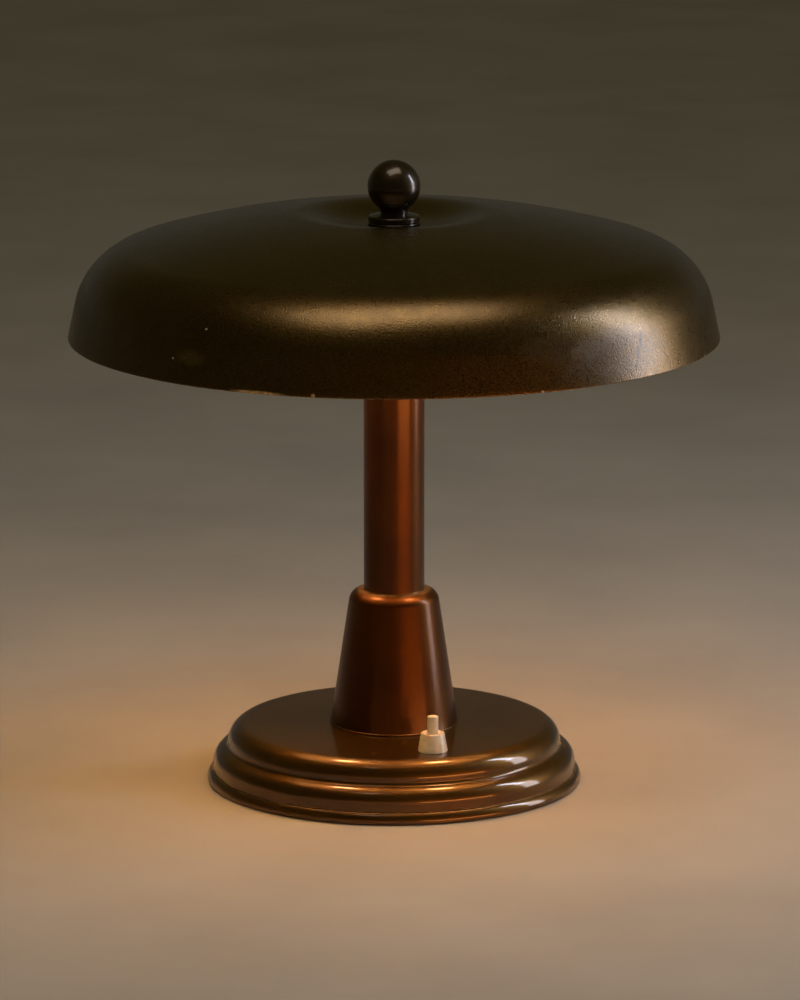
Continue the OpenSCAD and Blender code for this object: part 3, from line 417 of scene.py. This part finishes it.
finishes = {
    "dark_patina": olive_patina,
    "brown_patina": brown_patina,
    "bare_brass": plain_metal("dulled_turned_brass", "#7B5A2A", "#C49A55", 0.3, 0.8),
    "steel": plain_metal("zinc_dull_steel", "#5F6265", "#9A9DA0", 0.36, 0.7),
    "cast_iron": plain_metal("sand_cast_iron", "#232326", "#47474A", 0.6, 1.6),
    "ivory_plastic": moulded("aged_ivory_urea_plastic", "#DCC8A6", "#F6EDDA", 0.36, 0.3, 6, soft=0.15),
    "bakelite": moulded("brown_phenolic_moulding", "#1F110B", "#3B2317", 0.3, 0.3, 5),
    "felt": pressed_felt("green_pressed_wool_felt"),
    "porcelain": moulded("white_glazed_porcelain", "#CFC8B8", "#EDE9DF", 0.16, 0.6, 9),
    "frosted_glass": lit_glass("frosted_bulb_glass", 50.0),
}

# Shade: spun sheet with a leaning skirt, a rounded shoulder, a low crown and a dished centre
lean = math.radians(SKIRT_LEAN)
shoulder_x = SHADE_R - SKIRT_LEN * math.sin(lean) - SHOULDER_R * math.cos(lean)
shoulder_z = SKIRT_LEN * math.cos(lean) - SHOULDER_R * math.sin(lean)
crown_z = shoulder_z - math.sqrt((CROWN_R - SHOULDER_R) ** 2 - shoulder_x ** 2)
crown_turn = math.degrees(math.acos(shoulder_x / (CROWN_R - SHOULDER_R)))
seat_rise = crown_z + CROWN_R - DISH_DEPTH


def shade_height(r):
    """Height of the shade's dished centre and crown above its rim, at radius r."""
    crown = crown_z + math.sqrt(CROWN_R ** 2 - r ** 2)
    out = min(1.0, max(0.0, (r - SEAT_R) / (DISH_R - SEAT_R)))
    ease = out * out * (3 - 2 * out)
    return seat_rise + (crown - seat_rise) * ease


def shade_face(inset):
    """The shade's face from the top of its skirt to its rod hole, inset from the outer face."""
    dish_steps = 24
    dish_radii = [DISH_R - (DISH_R - SEAT_R) * i / dish_steps for i in range(1, dish_steps + 1)]
    crown_end = math.degrees(math.acos(DISH_R / (CROWN_R - inset)))
    return (arc((shoulder_x, shoulder_z), SHOULDER_R - inset, SKIRT_LEAN, crown_turn, 36)
            + arc((0, crown_z), CROWN_R - inset, crown_turn, crown_end, 28)[1:]
            + [(r, shade_height(r) - inset) for r in dish_radii]
            + [(ROD_R + ROD_GAP, seat_rise - inset)])


def skirt_points(start, end):
    """The points between two ends of the straight skirt."""
    steps = 8
    return [tuple(Vector(start).lerp(Vector(end), i / steps)) for i in range(1, steps)]


half_sheet = SHADE_SHEET / 2
rim_mid = (SHADE_R - half_sheet / math.cos(lean) - half_sheet * math.sin(lean), half_sheet * math.cos(lean))
rim_edge = arc(rim_mid, half_sheet, SKIRT_LEAN + 180, SKIRT_LEAN + 360, 10)
outer_face = shade_face(0)
inner_face = shade_face(SHADE_SHEET)
shade_outline = (rim_edge + skirt_points(rim_edge[-1], outer_face[0]) + outer_face + inner_face[::-1]
                 + skirt_points(inner_face[0], rim_edge[0]))
shade_mesh = turned([(r, z + RIM_Z) for r, z in shade_outline], 288)

# The slight unevenness of hand spinning, which grows towards the rim
SPIN_WAVES, SPIN_UNEVEN = 24, 0.14  # waves per metre, and their height in mm
SPIN_FROM = 0.3  # share of the shade's radius where it starts
for vert in shade_mesh.verts:
    out = math.hypot(vert.co.x, vert.co.y) / (SHADE_R * MM)
    if out > SPIN_FROM:
        wave = noise.noise(Vector((vert.co.x, vert.co.y, 0)) * SPIN_WAVES)
        uneven = wave * SPIN_UNEVEN * MM * (out - SPIN_FROM)
        vert.co.z += uneven
        vert.co.x -= abs(uneven) * vert.co.x / (SHADE_R * MM)
        vert.co.y -= abs(uneven) * vert.co.y / (SHADE_R * MM)
bmesh.ops.recalc_face_normals(shade_mesh, faces=shade_mesh.faces)

# The faces that look at a point below the rim are enamelled
LOOK_DROP = 100.0
look_point = Vector((0, 0, (RIM_Z - LOOK_DROP) * MM))
for face in shade_mesh.faces:
    middle = face.calc_center_median()
    if face.normal.dot(middle - look_point) < 0 and middle.z > (RIM_Z + SHADE_SHEET) * MM:
        face.material_index = 1
shade_piece = fit_piece("spun_shade", shade_mesh, "shade", olive_patina, ["shade"])
shade_piece.data.materials.append(cream_enamel)

# Finial: ball on its neck, over a collar with a sloping top, a groove and a bead
neck_turn = math.degrees(math.acos((NECK_R + NECK_FILLET) / (BALL_R + NECK_FILLET)))
neck_mid = COLLAR_TOP + NECK_H
ball_mid = neck_mid + (BALL_R + NECK_FILLET) * math.sin(math.radians(neck_turn))
ball_outline = ([(0, COLLAR_TOP), (NECK_R, COLLAR_TOP)]
                + arc((NECK_R + NECK_FILLET, neck_mid), NECK_FILLET, 180, 180 - neck_turn, 8)
                + arc((0, ball_mid), BALL_R, -neck_turn, 90, 48)[1:])
fit_piece("turned_ball", turned(ball_outline, 128, closed=False), "finial", ball_patina,
          ["finial_ball"])
bead_r = COLLAR_BEAD / 2
collar_face_r = COLLAR_R - COLLAR_STEP
collar_slope = math.radians(COLLAR_SLOPE)
collar_round_x = collar_face_r - COLLAR_ROUND
collar_fall = (collar_round_x + COLLAR_ROUND * math.sin(collar_slope) - NECK_R) * math.tan(collar_slope)
collar_round_z = COLLAR_TOP - collar_fall - COLLAR_ROUND * math.cos(collar_slope)
collar_outline = ([(ROD_R + THREAD_GAP, COLLAR_UNDER)]
                  + arc((COLLAR_R - bead_r, COLLAR_UNDER + bead_r), bead_r, -90, 90, 12)
                  + [(collar_face_r, COLLAR_UNDER + COLLAR_BEAD + bead_r - COLLAR_STEP)]
                  + arc((collar_round_x, collar_round_z), COLLAR_ROUND, 0, 90 - COLLAR_SLOPE, 10)
                  + [(NECK_R, COLLAR_TOP), (ROD_R + THREAD_GAP, COLLAR_TOP)])
fit_piece("turned_collar", turned(collar_outline, 128), "finial", ball_patina,
          ["finial_collar"])

# Stem tube with an eased top end
stem_outline = [(STEM_R - STEM_WALL, BASE_TOP), (STEM_R, BASE_TOP), (STEM_R, CONE_TOP),
                (STEM_R, STEM_TOP - EASE), (STEM_R - FINE_EASE, STEM_TOP), (STEM_R - STEM_WALL, STEM_TOP)]
fit_piece("stem_sleeve", turned(stem_outline, 160), "lamp_frame", stem_patina,
          ["stem_tube"])

# Cone collar with its rounded shoulder and a small lip at its foot
cone_lean = math.degrees(math.atan((CONE_R - CONE_TOP_R) / (CONE_TOP - BASE_TOP)))


def cone_face(inset):
    """The cone's face from its top edge down to its foot, inset from the outer face."""
    slope = math.radians(cone_lean)
    rise = CONE_TOP - BASE_TOP - CONE_SHOULDER
    mid = (CONE_R - rise * math.tan(slope) - CONE_SHOULDER / math.cos(slope), CONE_TOP - CONE_SHOULDER)
    return ([(STEM_R + SLIP_GAP, CONE_TOP - inset)]
            + arc(mid, CONE_SHOULDER - inset, 90, cone_lean, 20)
            + [(CONE_R - inset / math.cos(slope), BASE_TOP)])


cone_lip = arc((CONE_R, BASE_TOP + CONE_LIP), CONE_LIP, 90, -90, 10)
cone_outline = cone_face(0)[:-1] + cone_lip + cone_face(BASE_SHEET)[::-1]
fit_piece("spun_cone", turned(cone_outline, 160), "lamp_frame", stem_patina,
          ["cone_collar"])

# Base shell in two steps, its joint edge eased, with its holes for the switch and the cord
TOP_RING_R, JOINT_EASE, JOINT_GAP, DRILL_PAST = 50.0, 0.35, 0.05, 3.0
lower_mid = LEDGE_Z - LOWER_ROUND
fillet_dx = UPPER_R + STEP_FILLET - (BASE_R - LOWER_ROUND)
fillet_dz = math.sqrt((LOWER_ROUND + STEP_FILLET) ** 2 - fillet_dx ** 2)
fillet_turn = math.degrees(math.atan2(fillet_dz, fillet_dx))


def base_face(inset):
    """The base's face from the rod hole at its top out and down to its joint edge, inset from the outer
    face. A ring of points on its flat top keeps the faces there short."""
    fillet_mid = (UPPER_R + STEP_FILLET, lower_mid + fillet_dz)
    return ([(STEM_ROD_R + SLIP_GAP, BASE_TOP - inset), (TOP_RING_R, BASE_TOP - inset)]
            + arc((UPPER_R - UPPER_ROUND, BASE_TOP - UPPER_ROUND), UPPER_ROUND - inset, 90, 0, 20)
            + arc(fillet_mid, STEP_FILLET + inset, 180, 180 + fillet_turn, 12)
            + arc((BASE_R - LOWER_ROUND, lower_mid), LOWER_ROUND - inset, fillet_turn, 0, 16)[1:])


joint_edge = [(BASE_R, JOINT_Z + WIDE_EASE), (BASE_R - JOINT_EASE, JOINT_Z + JOINT_GAP),
              (BASE_R - BASE_SHEET, JOINT_Z + JOINT_GAP)]
base_outline = base_face(0) + joint_edge + base_face(BASE_SHEET)[::-1]
at_switch = Matrix.Translation((SWITCH_X * MM, SWITCH_Y * MM, 0))
at_inlet = Matrix.Translation((0, 0, INLET_Z * MM)) @ Matrix.Rotation(math.radians(-90), 4, "X")
base_mesh = drilled(turned(base_outline, 224), SWITCH_BUSH_R + SLIP_GAP,
                    BASE_TOP - DRILL_PAST, BASE_TOP + DRILL_PAST, at_switch)
base_mesh = drilled(base_mesh, INLET_R + SLIP_GAP, INLET_IN, INLET_OUT, at_inlet)
fit_piece("spun_base", base_mesh, "lamp_frame", brown_patina, ["base_shell"])

# Foot ring: a turned roll with a spigot and the ledge that takes the bottom plate
foot_low = -math.degrees(math.asin((FOOT_BELLY_Z - FOOT_UNDER) / FOOT_ROUND))
foot_high = math.degrees(math.asin((JOINT_Z - FOOT_BELLY_Z) / FOOT_ROUND))
spigot_r = BASE_R - BASE_SHEET - SLIP_GAP
ledge_r = PLATE_R - PLATE_LEDGE
foot_outline = (arc((FOOT_R - FOOT_ROUND, FOOT_BELLY_Z), FOOT_ROUND, foot_low, foot_high, 24)
                + [(spigot_r, JOINT_Z), (spigot_r, SPIGOT_TOP), (ledge_r, SPIGOT_TOP), (ledge_r, PLATE_TOP),
                   (PLATE_R + PLATE_GAP, PLATE_TOP), (PLATE_R + PLATE_GAP, FOOT_UNDER)])
fit_piece("turned_foot", turned(foot_outline, 224), "lamp_frame", brown_patina,
          ["foot_ring"])

# Felt under the base, with a rubbed edge and an uneven face
FELT_RINGS_UNDER, FELT_RINGS_OVER = (0, 25, 50, 70, 85, 95), (60, 30, 0)  # radii of its rings of points
FELT_UNDER_ROUND, FELT_OVER_ROUND = 0.6, 0.5
FELT_WAVES, FELT_UNEVEN = 160, 0.12  # waves per metre, and their height in mm
FELT_FLAT_R, FELT_FLAT_Z = 10.0, 0.3  # the middle, and all above this height, stay flat
felt_outline = ([(r, 0.0) for r in FELT_RINGS_UNDER]
                + arc((PLATE_R - FELT_UNDER_ROUND, FELT_UNDER_ROUND), FELT_UNDER_ROUND, -90, 0, 4)
                + arc((PLATE_R - FELT_OVER_ROUND, FELT_T - FELT_OVER_ROUND), FELT_OVER_ROUND, 0, 90, 4)
                + [(r, FELT_T) for r in FELT_RINGS_OVER])
felt_mesh = turned(felt_outline, 160, closed=False)
for vert in felt_mesh.verts:
    if vert.co.to_2d().length > FELT_FLAT_R * MM and vert.co.z < FELT_FLAT_Z * MM:
        vert.co.z += abs(noise.noise(vert.co * FELT_WAVES)) * FELT_UNEVEN * MM
felt = fit_piece("felt_disc", felt_mesh, "lamp_frame", finishes["felt"], ["felt_pad"])

# Switch: ivory ring nut with a dished top, and the flat-topped button that slides through it
BEZEL_FOOT_EASE, BEZEL_MOUTH_IN, BEZEL_LEAN, BEZEL_ROUND_END = 0.2, 0.25, 12, 120
bezel_bore_r = SWITCH_BUSH_R + THREAD_GAP
bezel_outline = ([(bezel_bore_r, BASE_TOP), (BEZEL_R - BEZEL_FOOT_EASE, BASE_TOP),
                  (BEZEL_R, BASE_TOP + FINE_EASE)]
                 + arc((BEZEL_TOP_R - BEZEL_ROUND, BEZEL_TOP - BEZEL_ROUND), BEZEL_ROUND,
                       BEZEL_LEAN, BEZEL_ROUND_END, 10)
                 + [(BEZEL_HOLE_R + BEZEL_MOUTH_IN, BEZEL_TOP - BEZEL_DISH),
                    (BEZEL_HOLE_R, BEZEL_TOP - BEZEL_DISH - FINE_EASE),
                    (BEZEL_HOLE_R, BEZEL_TOP - BEZEL_FACE), (bezel_bore_r, BEZEL_TOP - BEZEL_FACE)])
fit_piece("switch_ring", placed(turned(bezel_outline, 96), at_switch), "lamp_frame",
          finishes["ivory_plastic"], ["switch_bezel"])
button_outline = ([(0, BUTTON_END), (BUTTON_R, BUTTON_END), (BUTTON_R, STOP_UNDER), (STOP_R, STOP_UNDER),
                   (STOP_R, STOP_UNDER + STOP_T), (BUTTON_R, STOP_UNDER + STOP_T)]
                  + arc((BUTTON_R - BUTTON_ROUND, BUTTON_TOP - BUTTON_ROUND), BUTTON_ROUND, 0, 80, 8)
                  + [(BUTTON_FLAT_R, BUTTON_TOP), (0, BUTTON_TOP)])
fit_piece("switch_plunger", placed(turned(button_outline, 96, closed=False), at_switch), "button",
          finishes["ivory_plastic"], ["switch_button"])

# Cord inlet bush in the back of the base
bush_outline = ([(INLET_BORE_R, INLET_IN), (INLET_R, INLET_IN), (INLET_R, INLET_FACE),
                 (INLET_FLANGE_R, INLET_FACE)]
                + arc((INLET_FLANGE_R - INLET_ROUND, INLET_OUT - INLET_ROUND), INLET_ROUND, 0, 90, 6)
                + arc((INLET_BORE_R + INLET_MOUTH_ROUND, INLET_OUT - INLET_MOUTH_ROUND), INLET_MOUTH_ROUND,
                      90, 180, 6))
fit_piece("inlet_bush", placed(turned(bush_outline, 64), at_inlet), "lamp_frame", finishes["bakelite"],
          ["cord_bush"])

# Cluster on the stem: body with two side bosses, and its lid
cluster_hole_r = STEM_ROD_R + THREAD_GAP
body_outline = [(cluster_hole_r, STEM_TOP), (STEM_R - FINE_EASE, STEM_TOP), (STEM_R, STEM_TOP + EASE),
                (STEM_R, LID_BOTTOM - FINE_EASE), (STEM_R - EASE, LID_BOTTOM), (CLUSTER_BORE_R, LID_BOTTOM),
                (CLUSTER_BORE_R, STEM_TOP + CLUSTER_FLOOR), (cluster_hole_r, STEM_TOP + CLUSTER_FLOOR)]
boss_outline = [(0, BOSS_START), (BOSS_R, BOSS_START), (BOSS_R, CAP_START - FINE_EASE),
                (BOSS_R - FINE_EASE, CAP_START), (0, CAP_START)]


def at_holder(side):
    """Place of a lampholder's axis, its Z pointing outwards: side 0 is the right one, 180 the left."""
    turned_out = Matrix.Rotation(math.radians(HOLDER_TURN + side), 4, "Z")
    return (Matrix.Translation((0, 0, LAMP_Z * MM)) @ turned_out
            @ Matrix.Rotation(math.radians(90), 4, "Y"))


bosses = [placed(turned(boss_outline, 64, closed=False), at_holder(side)) for side in (0, 180)]
fit_piece("cluster_drum", joined(turned(body_outline, 128), *bosses), "lamp_frame", brown_patina,
          ["cluster_body"])
lid_outline = ([(ROD_R + THREAD_GAP, LID_BOTTOM), (STEM_R - EASE, LID_BOTTOM), (STEM_R, LID_BOTTOM + EASE)]
               + arc((STEM_R - LID_ROUND, CLUSTER_TOP - LID_ROUND), LID_ROUND, 0, 90, 10)
               + [(ROD_R + THREAD_GAP, CLUSTER_TOP)])
fit_piece("cluster_cap", turned(lid_outline, 128), "lamp_frame", brown_patina,
          ["cluster_lid"])

# Threaded rod that carries the shade, its thread drawn as crests and roots by turns
ROD_START_IN, ROD_END_IN = 0.5, 0.6
thread = [(ROD_R - ROD_THREAD_DEPTH * (i % 2), ROD_BOTTOM + ROD_THREAD_PITCH / 2 * i)
          for i in range(1, 2 * ROD_THREAD_TURNS + 1)]
rod_outline = ([(0, ROD_BOTTOM), (ROD_R - ROD_START_IN, ROD_BOTTOM)] + thread
               + [(ROD_R - ROD_END_IN, ROD_TOP), (0, ROD_TOP)])
fit_piece("threaded_rod", turned(rod_outline, 48, closed=False), "lamp_frame", finishes["steel"],
          ["shade_rod"], sharp=60)

# Nut under the shade, turned as a chamfered blank whose flats are then pressed in, and its washer
chamfer_steps = 5
chamfer_start = NUT_FLAT_R - NUT_CHAMFER_IN
chamfer_reach = NUT_FLAT_R / math.cos(math.radians(30)) - chamfer_start
nut_chamfer = [(chamfer_start + chamfer_reach * i / chamfer_steps, NUT_CHAMFER_H * i / chamfer_steps)
               for i in range(chamfer_steps + 1)]
nut_outline = ([(ROD_R + THREAD_GAP, NUT_BOTTOM)] + [(r, NUT_BOTTOM + rise) for r, rise in nut_chamfer]
               + [(r, NUT_TOP - rise) for r, rise in reversed(nut_chamfer)]
               + [(ROD_R + THREAD_GAP, NUT_TOP)])
nut_mesh = turned(nut_outline, 96)
for vert in nut_mesh.verts:
    from_flat = math.atan2(vert.co.y, vert.co.x) % (math.pi / 3) - math.pi / 6
    flat_r = NUT_FLAT_R * MM / math.cos(from_flat)
    if vert.co.to_2d().length > flat_r:
        vert.co.x, vert.co.y = vert.co.to_2d().normalized() * flat_r
fit_piece("shade_hex_nut", nut_mesh, "lamp_frame", finishes["bare_brass"], ["shade_nut"])
washer_outline = ([(ROD_R + SLIP_GAP, NUT_TOP)]
                  + arc((WASHER_R - WASHER_ROUND, NUT_TOP + WASHER_ROUND), WASHER_ROUND, -90, 0, 4)
                  + [(WASHER_R, WASHER_TOP), (ROD_R + SLIP_GAP, WASHER_TOP)])
fit_piece("seat_washer", turned(washer_outline, 96), "lamp_frame", finishes["bare_brass"],
          ["shade_washer"])

# Lampholders and bulbs, back to back: each holder is a flared bell and a beaded can, and each bulb a globe
# on a screw cap
BELL_GROOVE, BELL_GROOVE_H, BELL_GROOVE_EASE = 0.45, 0.6, 0.3
CAN_BEAD_H, CAN_GROOVE_H = 2.6, 0.8
BULB_CAP_TAPER, RIDGE_STEPS = 0.9, 8
flare = HOLDER_R - CAP_BACK_R
bell_hole_r = NIPPLE_R + THREAD_GAP
bell_groove_r = HOLDER_R - BELL_GROOVE
bell_groove_z = CAP_END - BELL_GROOVE_H
bell_outline = ([(bell_hole_r, CAP_START), (CAP_BACK_R - WIDE_EASE, CAP_START)]
                + arc((CAP_BACK_R, CAP_START + flare), flare, -90, 0, 14)
                + [(HOLDER_R, bell_groove_z - BELL_GROOVE_EASE), (bell_groove_r, bell_groove_z),
                   (bell_groove_r, CAP_END), (CAP_BORE_R, CAP_END), (CAP_BORE_R, CAP_START + CAP_FLOOR),
                   (bell_hole_r, CAP_START + CAP_FLOOR)])
can_groove_r = HOLDER_R - WIDE_EASE
can_groove_z = CAP_END + CAN_BEAD_H + EASE
can_outline = ([(SHELL_BORE_R, CAP_END), (HOLDER_R - EASE, CAP_END), (HOLDER_R, CAP_END + EASE),
                (HOLDER_R, CAP_END + CAN_BEAD_H), (can_groove_r, can_groove_z),
                (can_groove_r, can_groove_z + CAN_GROOVE_H), (HOLDER_R, can_groove_z + CAN_GROOVE_H + EASE)]
               + arc((HOLDER_R - SHELL_ROUND, SHELL_END - SHELL_ROUND), SHELL_ROUND, 0, 90, 8)
               + [(SHELL_MOUTH_R, SHELL_END), (SHELL_MOUTH_R, SHELL_END - SHELL_LIP),
                  (SHELL_BORE_R, SHELL_END - SHELL_LIP)])
flare_rise = math.sqrt((GLOBE_R + GLASS_FLARE) ** 2 - (GLASS_NECK_R + GLASS_FLARE) ** 2)
flare_turn = math.degrees(math.acos((GLASS_NECK_R + GLASS_FLARE) / (GLOBE_R + GLASS_FLARE)))
flare_mid = (GLASS_NECK_R + GLASS_FLARE, GLOBE_MID - flare_rise)
globe_outline = ([(0, BULB_CAP_END - GLASS_SUNK), (GLASS_NECK_R, BULB_CAP_END - GLASS_SUNK)]
                 + arc(flare_mid, GLASS_FLARE, 180, 180 - flare_turn, 12)
                 + arc((0, GLOBE_MID), GLOBE_R, -flare_turn, 90, 40)[1:])
ridges = [(BULB_CAP_R - BULB_THREAD_DEPTH / 2 * (1 - math.cos(2 * math.pi * i / RIDGE_STEPS)),
           BULB_CAP_START + BULB_THREAD_START + BULB_THREAD_PITCH * i / RIDGE_STEPS)
          for i in range(BULB_THREAD_TURNS * RIDGE_STEPS + 1)]
screw_cap_outline = ([(0, BULB_CAP_START), (BULB_CAP_R - BULB_CAP_TAPER, BULB_CAP_START)] + ridges
                     + [(BULB_CAP_R, BULB_CAP_END - FINE_EASE), (BULB_CAP_R - EASE, BULB_CAP_END),
                        (BULB_CAP_R - EASE, BULB_CAP_END - BULB_CAP_SUNK),
                        (0, BULB_CAP_END - BULB_CAP_SUNK)])
for side, turn in (("left", 180), ("right", 0)):
    here = at_holder(turn)
    for name, outline, node in (("holder_bell", bell_outline, "holder_cap"),
                                ("holder_can", can_outline, "holder_shell")):
        fit_piece(f"{side}_{name}", placed(turned(outline, 96), here), "lamp_frame",
                  finishes["bare_brass"], [f"{side}_{node}"])
    fit_piece(f"{side}_globe", placed(turned(globe_outline, 96, closed=False), here), f"{side}_bulb",
              finishes["frosted_glass"], [f"{side}_bulb_glass"])
    fit_piece(f"{side}_screw_cap", placed(turned(screw_cap_outline, 72, closed=False), here),
              f"{side}_bulb", finishes["bare_brass"], [f"{side}_bulb_cap"])

# The inner pieces keep their CAD shape and take their slot's finish
for subpart in frame["record"]["subparts"]:
    node = frame["nodes"][subpart["node"]]
    node.data.materials.clear()
    node.data.materials.append(finishes[subpart["material_slot"]])

# Plain pale floor
FLOOR_R = 9.0
floor_mesh = bmesh.new()
bmesh.ops.create_circle(floor_mesh, cap_ends=True, segments=128, radius=FLOOR_R)
floor_data = bpy.data.meshes.new("floor")
floor_mesh.to_mesh(floor_data)
floor_mesh.free()
floor_data.materials.append(painted_floor("pale_matt_studio_paint"))
floor = bpy.data.objects.new("floor", floor_data)
bpy.context.scene.collection.objects.link(floor)

# Soft lights, as (name, reach, place, aim, size, turn, power, tint): one overhead, two at the right, low
# warm cards in front, and two fills. A light that reaches the sheen shows in gloss only, and a fill on
# matt faces only, so that the low cards draw no lines on the floor.
soft_lights = [
    ("overhead", "all", (0.0, -0.26, 1.45), (0, 0, 0.3), (0.95, 0.54), 24, 5.2, "#FFEEDA"),
    ("side light", "all", (0.95, 0.03, 0.76), (0, 0, 0.5), (0.13, 0.5), 0, 4.2, "#E0E8FF"),
    ("low side light", "sheen", (0.95, 0.04, 0.28), (0, 0, 0.2), (0.22, 0.5), 0, 2.6, "#FBF7FF"),
    ("warm card", "sheen", (0.63, -0.80, 0.03), (0, 0, 0.16), (0.86, 0.06), 0, 2.3, "#FFA050"),
    ("dim warm card", "sheen", (-0.26, -0.98, 0.05), (0, 0, 0.16), (1.05, 0.1), 0, 0.28, "#FFA050"),
    ("front fill", "fill", (0.5, -2.5, 1.2), (0, 0, 0.1), (1, 1), 0, 11.0, "#FFDDC0"),
    ("top fill", "fill", (0, 0, 5), (0, 0, 0), (12, 12), 0, 40.0, "#FFFAF2"),
]
for name, reach, place, aim, size, turn, power, tint in soft_lights:
    light_data = bpy.data.lights.new(name, "AREA")
    light_data.shape = "RECTANGLE"
    light_data.size, light_data.size_y = size
    light_data.energy = power
    light_data.color = linear(tint)[:3]
    light = bpy.data.objects.new(name, light_data)
    light.location = place
    facing = (Vector(aim) - Vector(place)).to_track_quat("-Z", "Y")
    light.rotation_euler = (facing @ Quaternion((0, 0, 1), math.radians(turn))).to_euler()
    light.visible_camera = False
    light.visible_diffuse = reach != "sheen"
    light.visible_glossy = reach != "fill"
    bpy.context.scene.collection.objects.link(light)

# Dim warm surround, paler low down behind the lamp
surround = bpy.data.worlds.new("surround")
surround.use_nodes = True
sky = surround.node_tree
direction = add_node(sky, "TexCoord", out="Generated")
low_behind = add_node(sky, "VectorMath", {0: direction, 1: (0, 0.5, -1)}, "Value", operation="DOT_PRODUCT")
paler = add_node(sky, "MapRange", {"Value": low_behind, "From Max": 0.5})
glow = add_node(sky, "Mix", {SHARE: paler, FIRST: linear("#403A1A"), SECOND: linear("#4E4D48")}, MIXED,
                data_type="RGBA")
sky.links.new(glow, sky.nodes["Background"].inputs["Color"])
bpy.context.scene.world = surround
bpy.context.scene.view_settings.view_transform = "Standard"
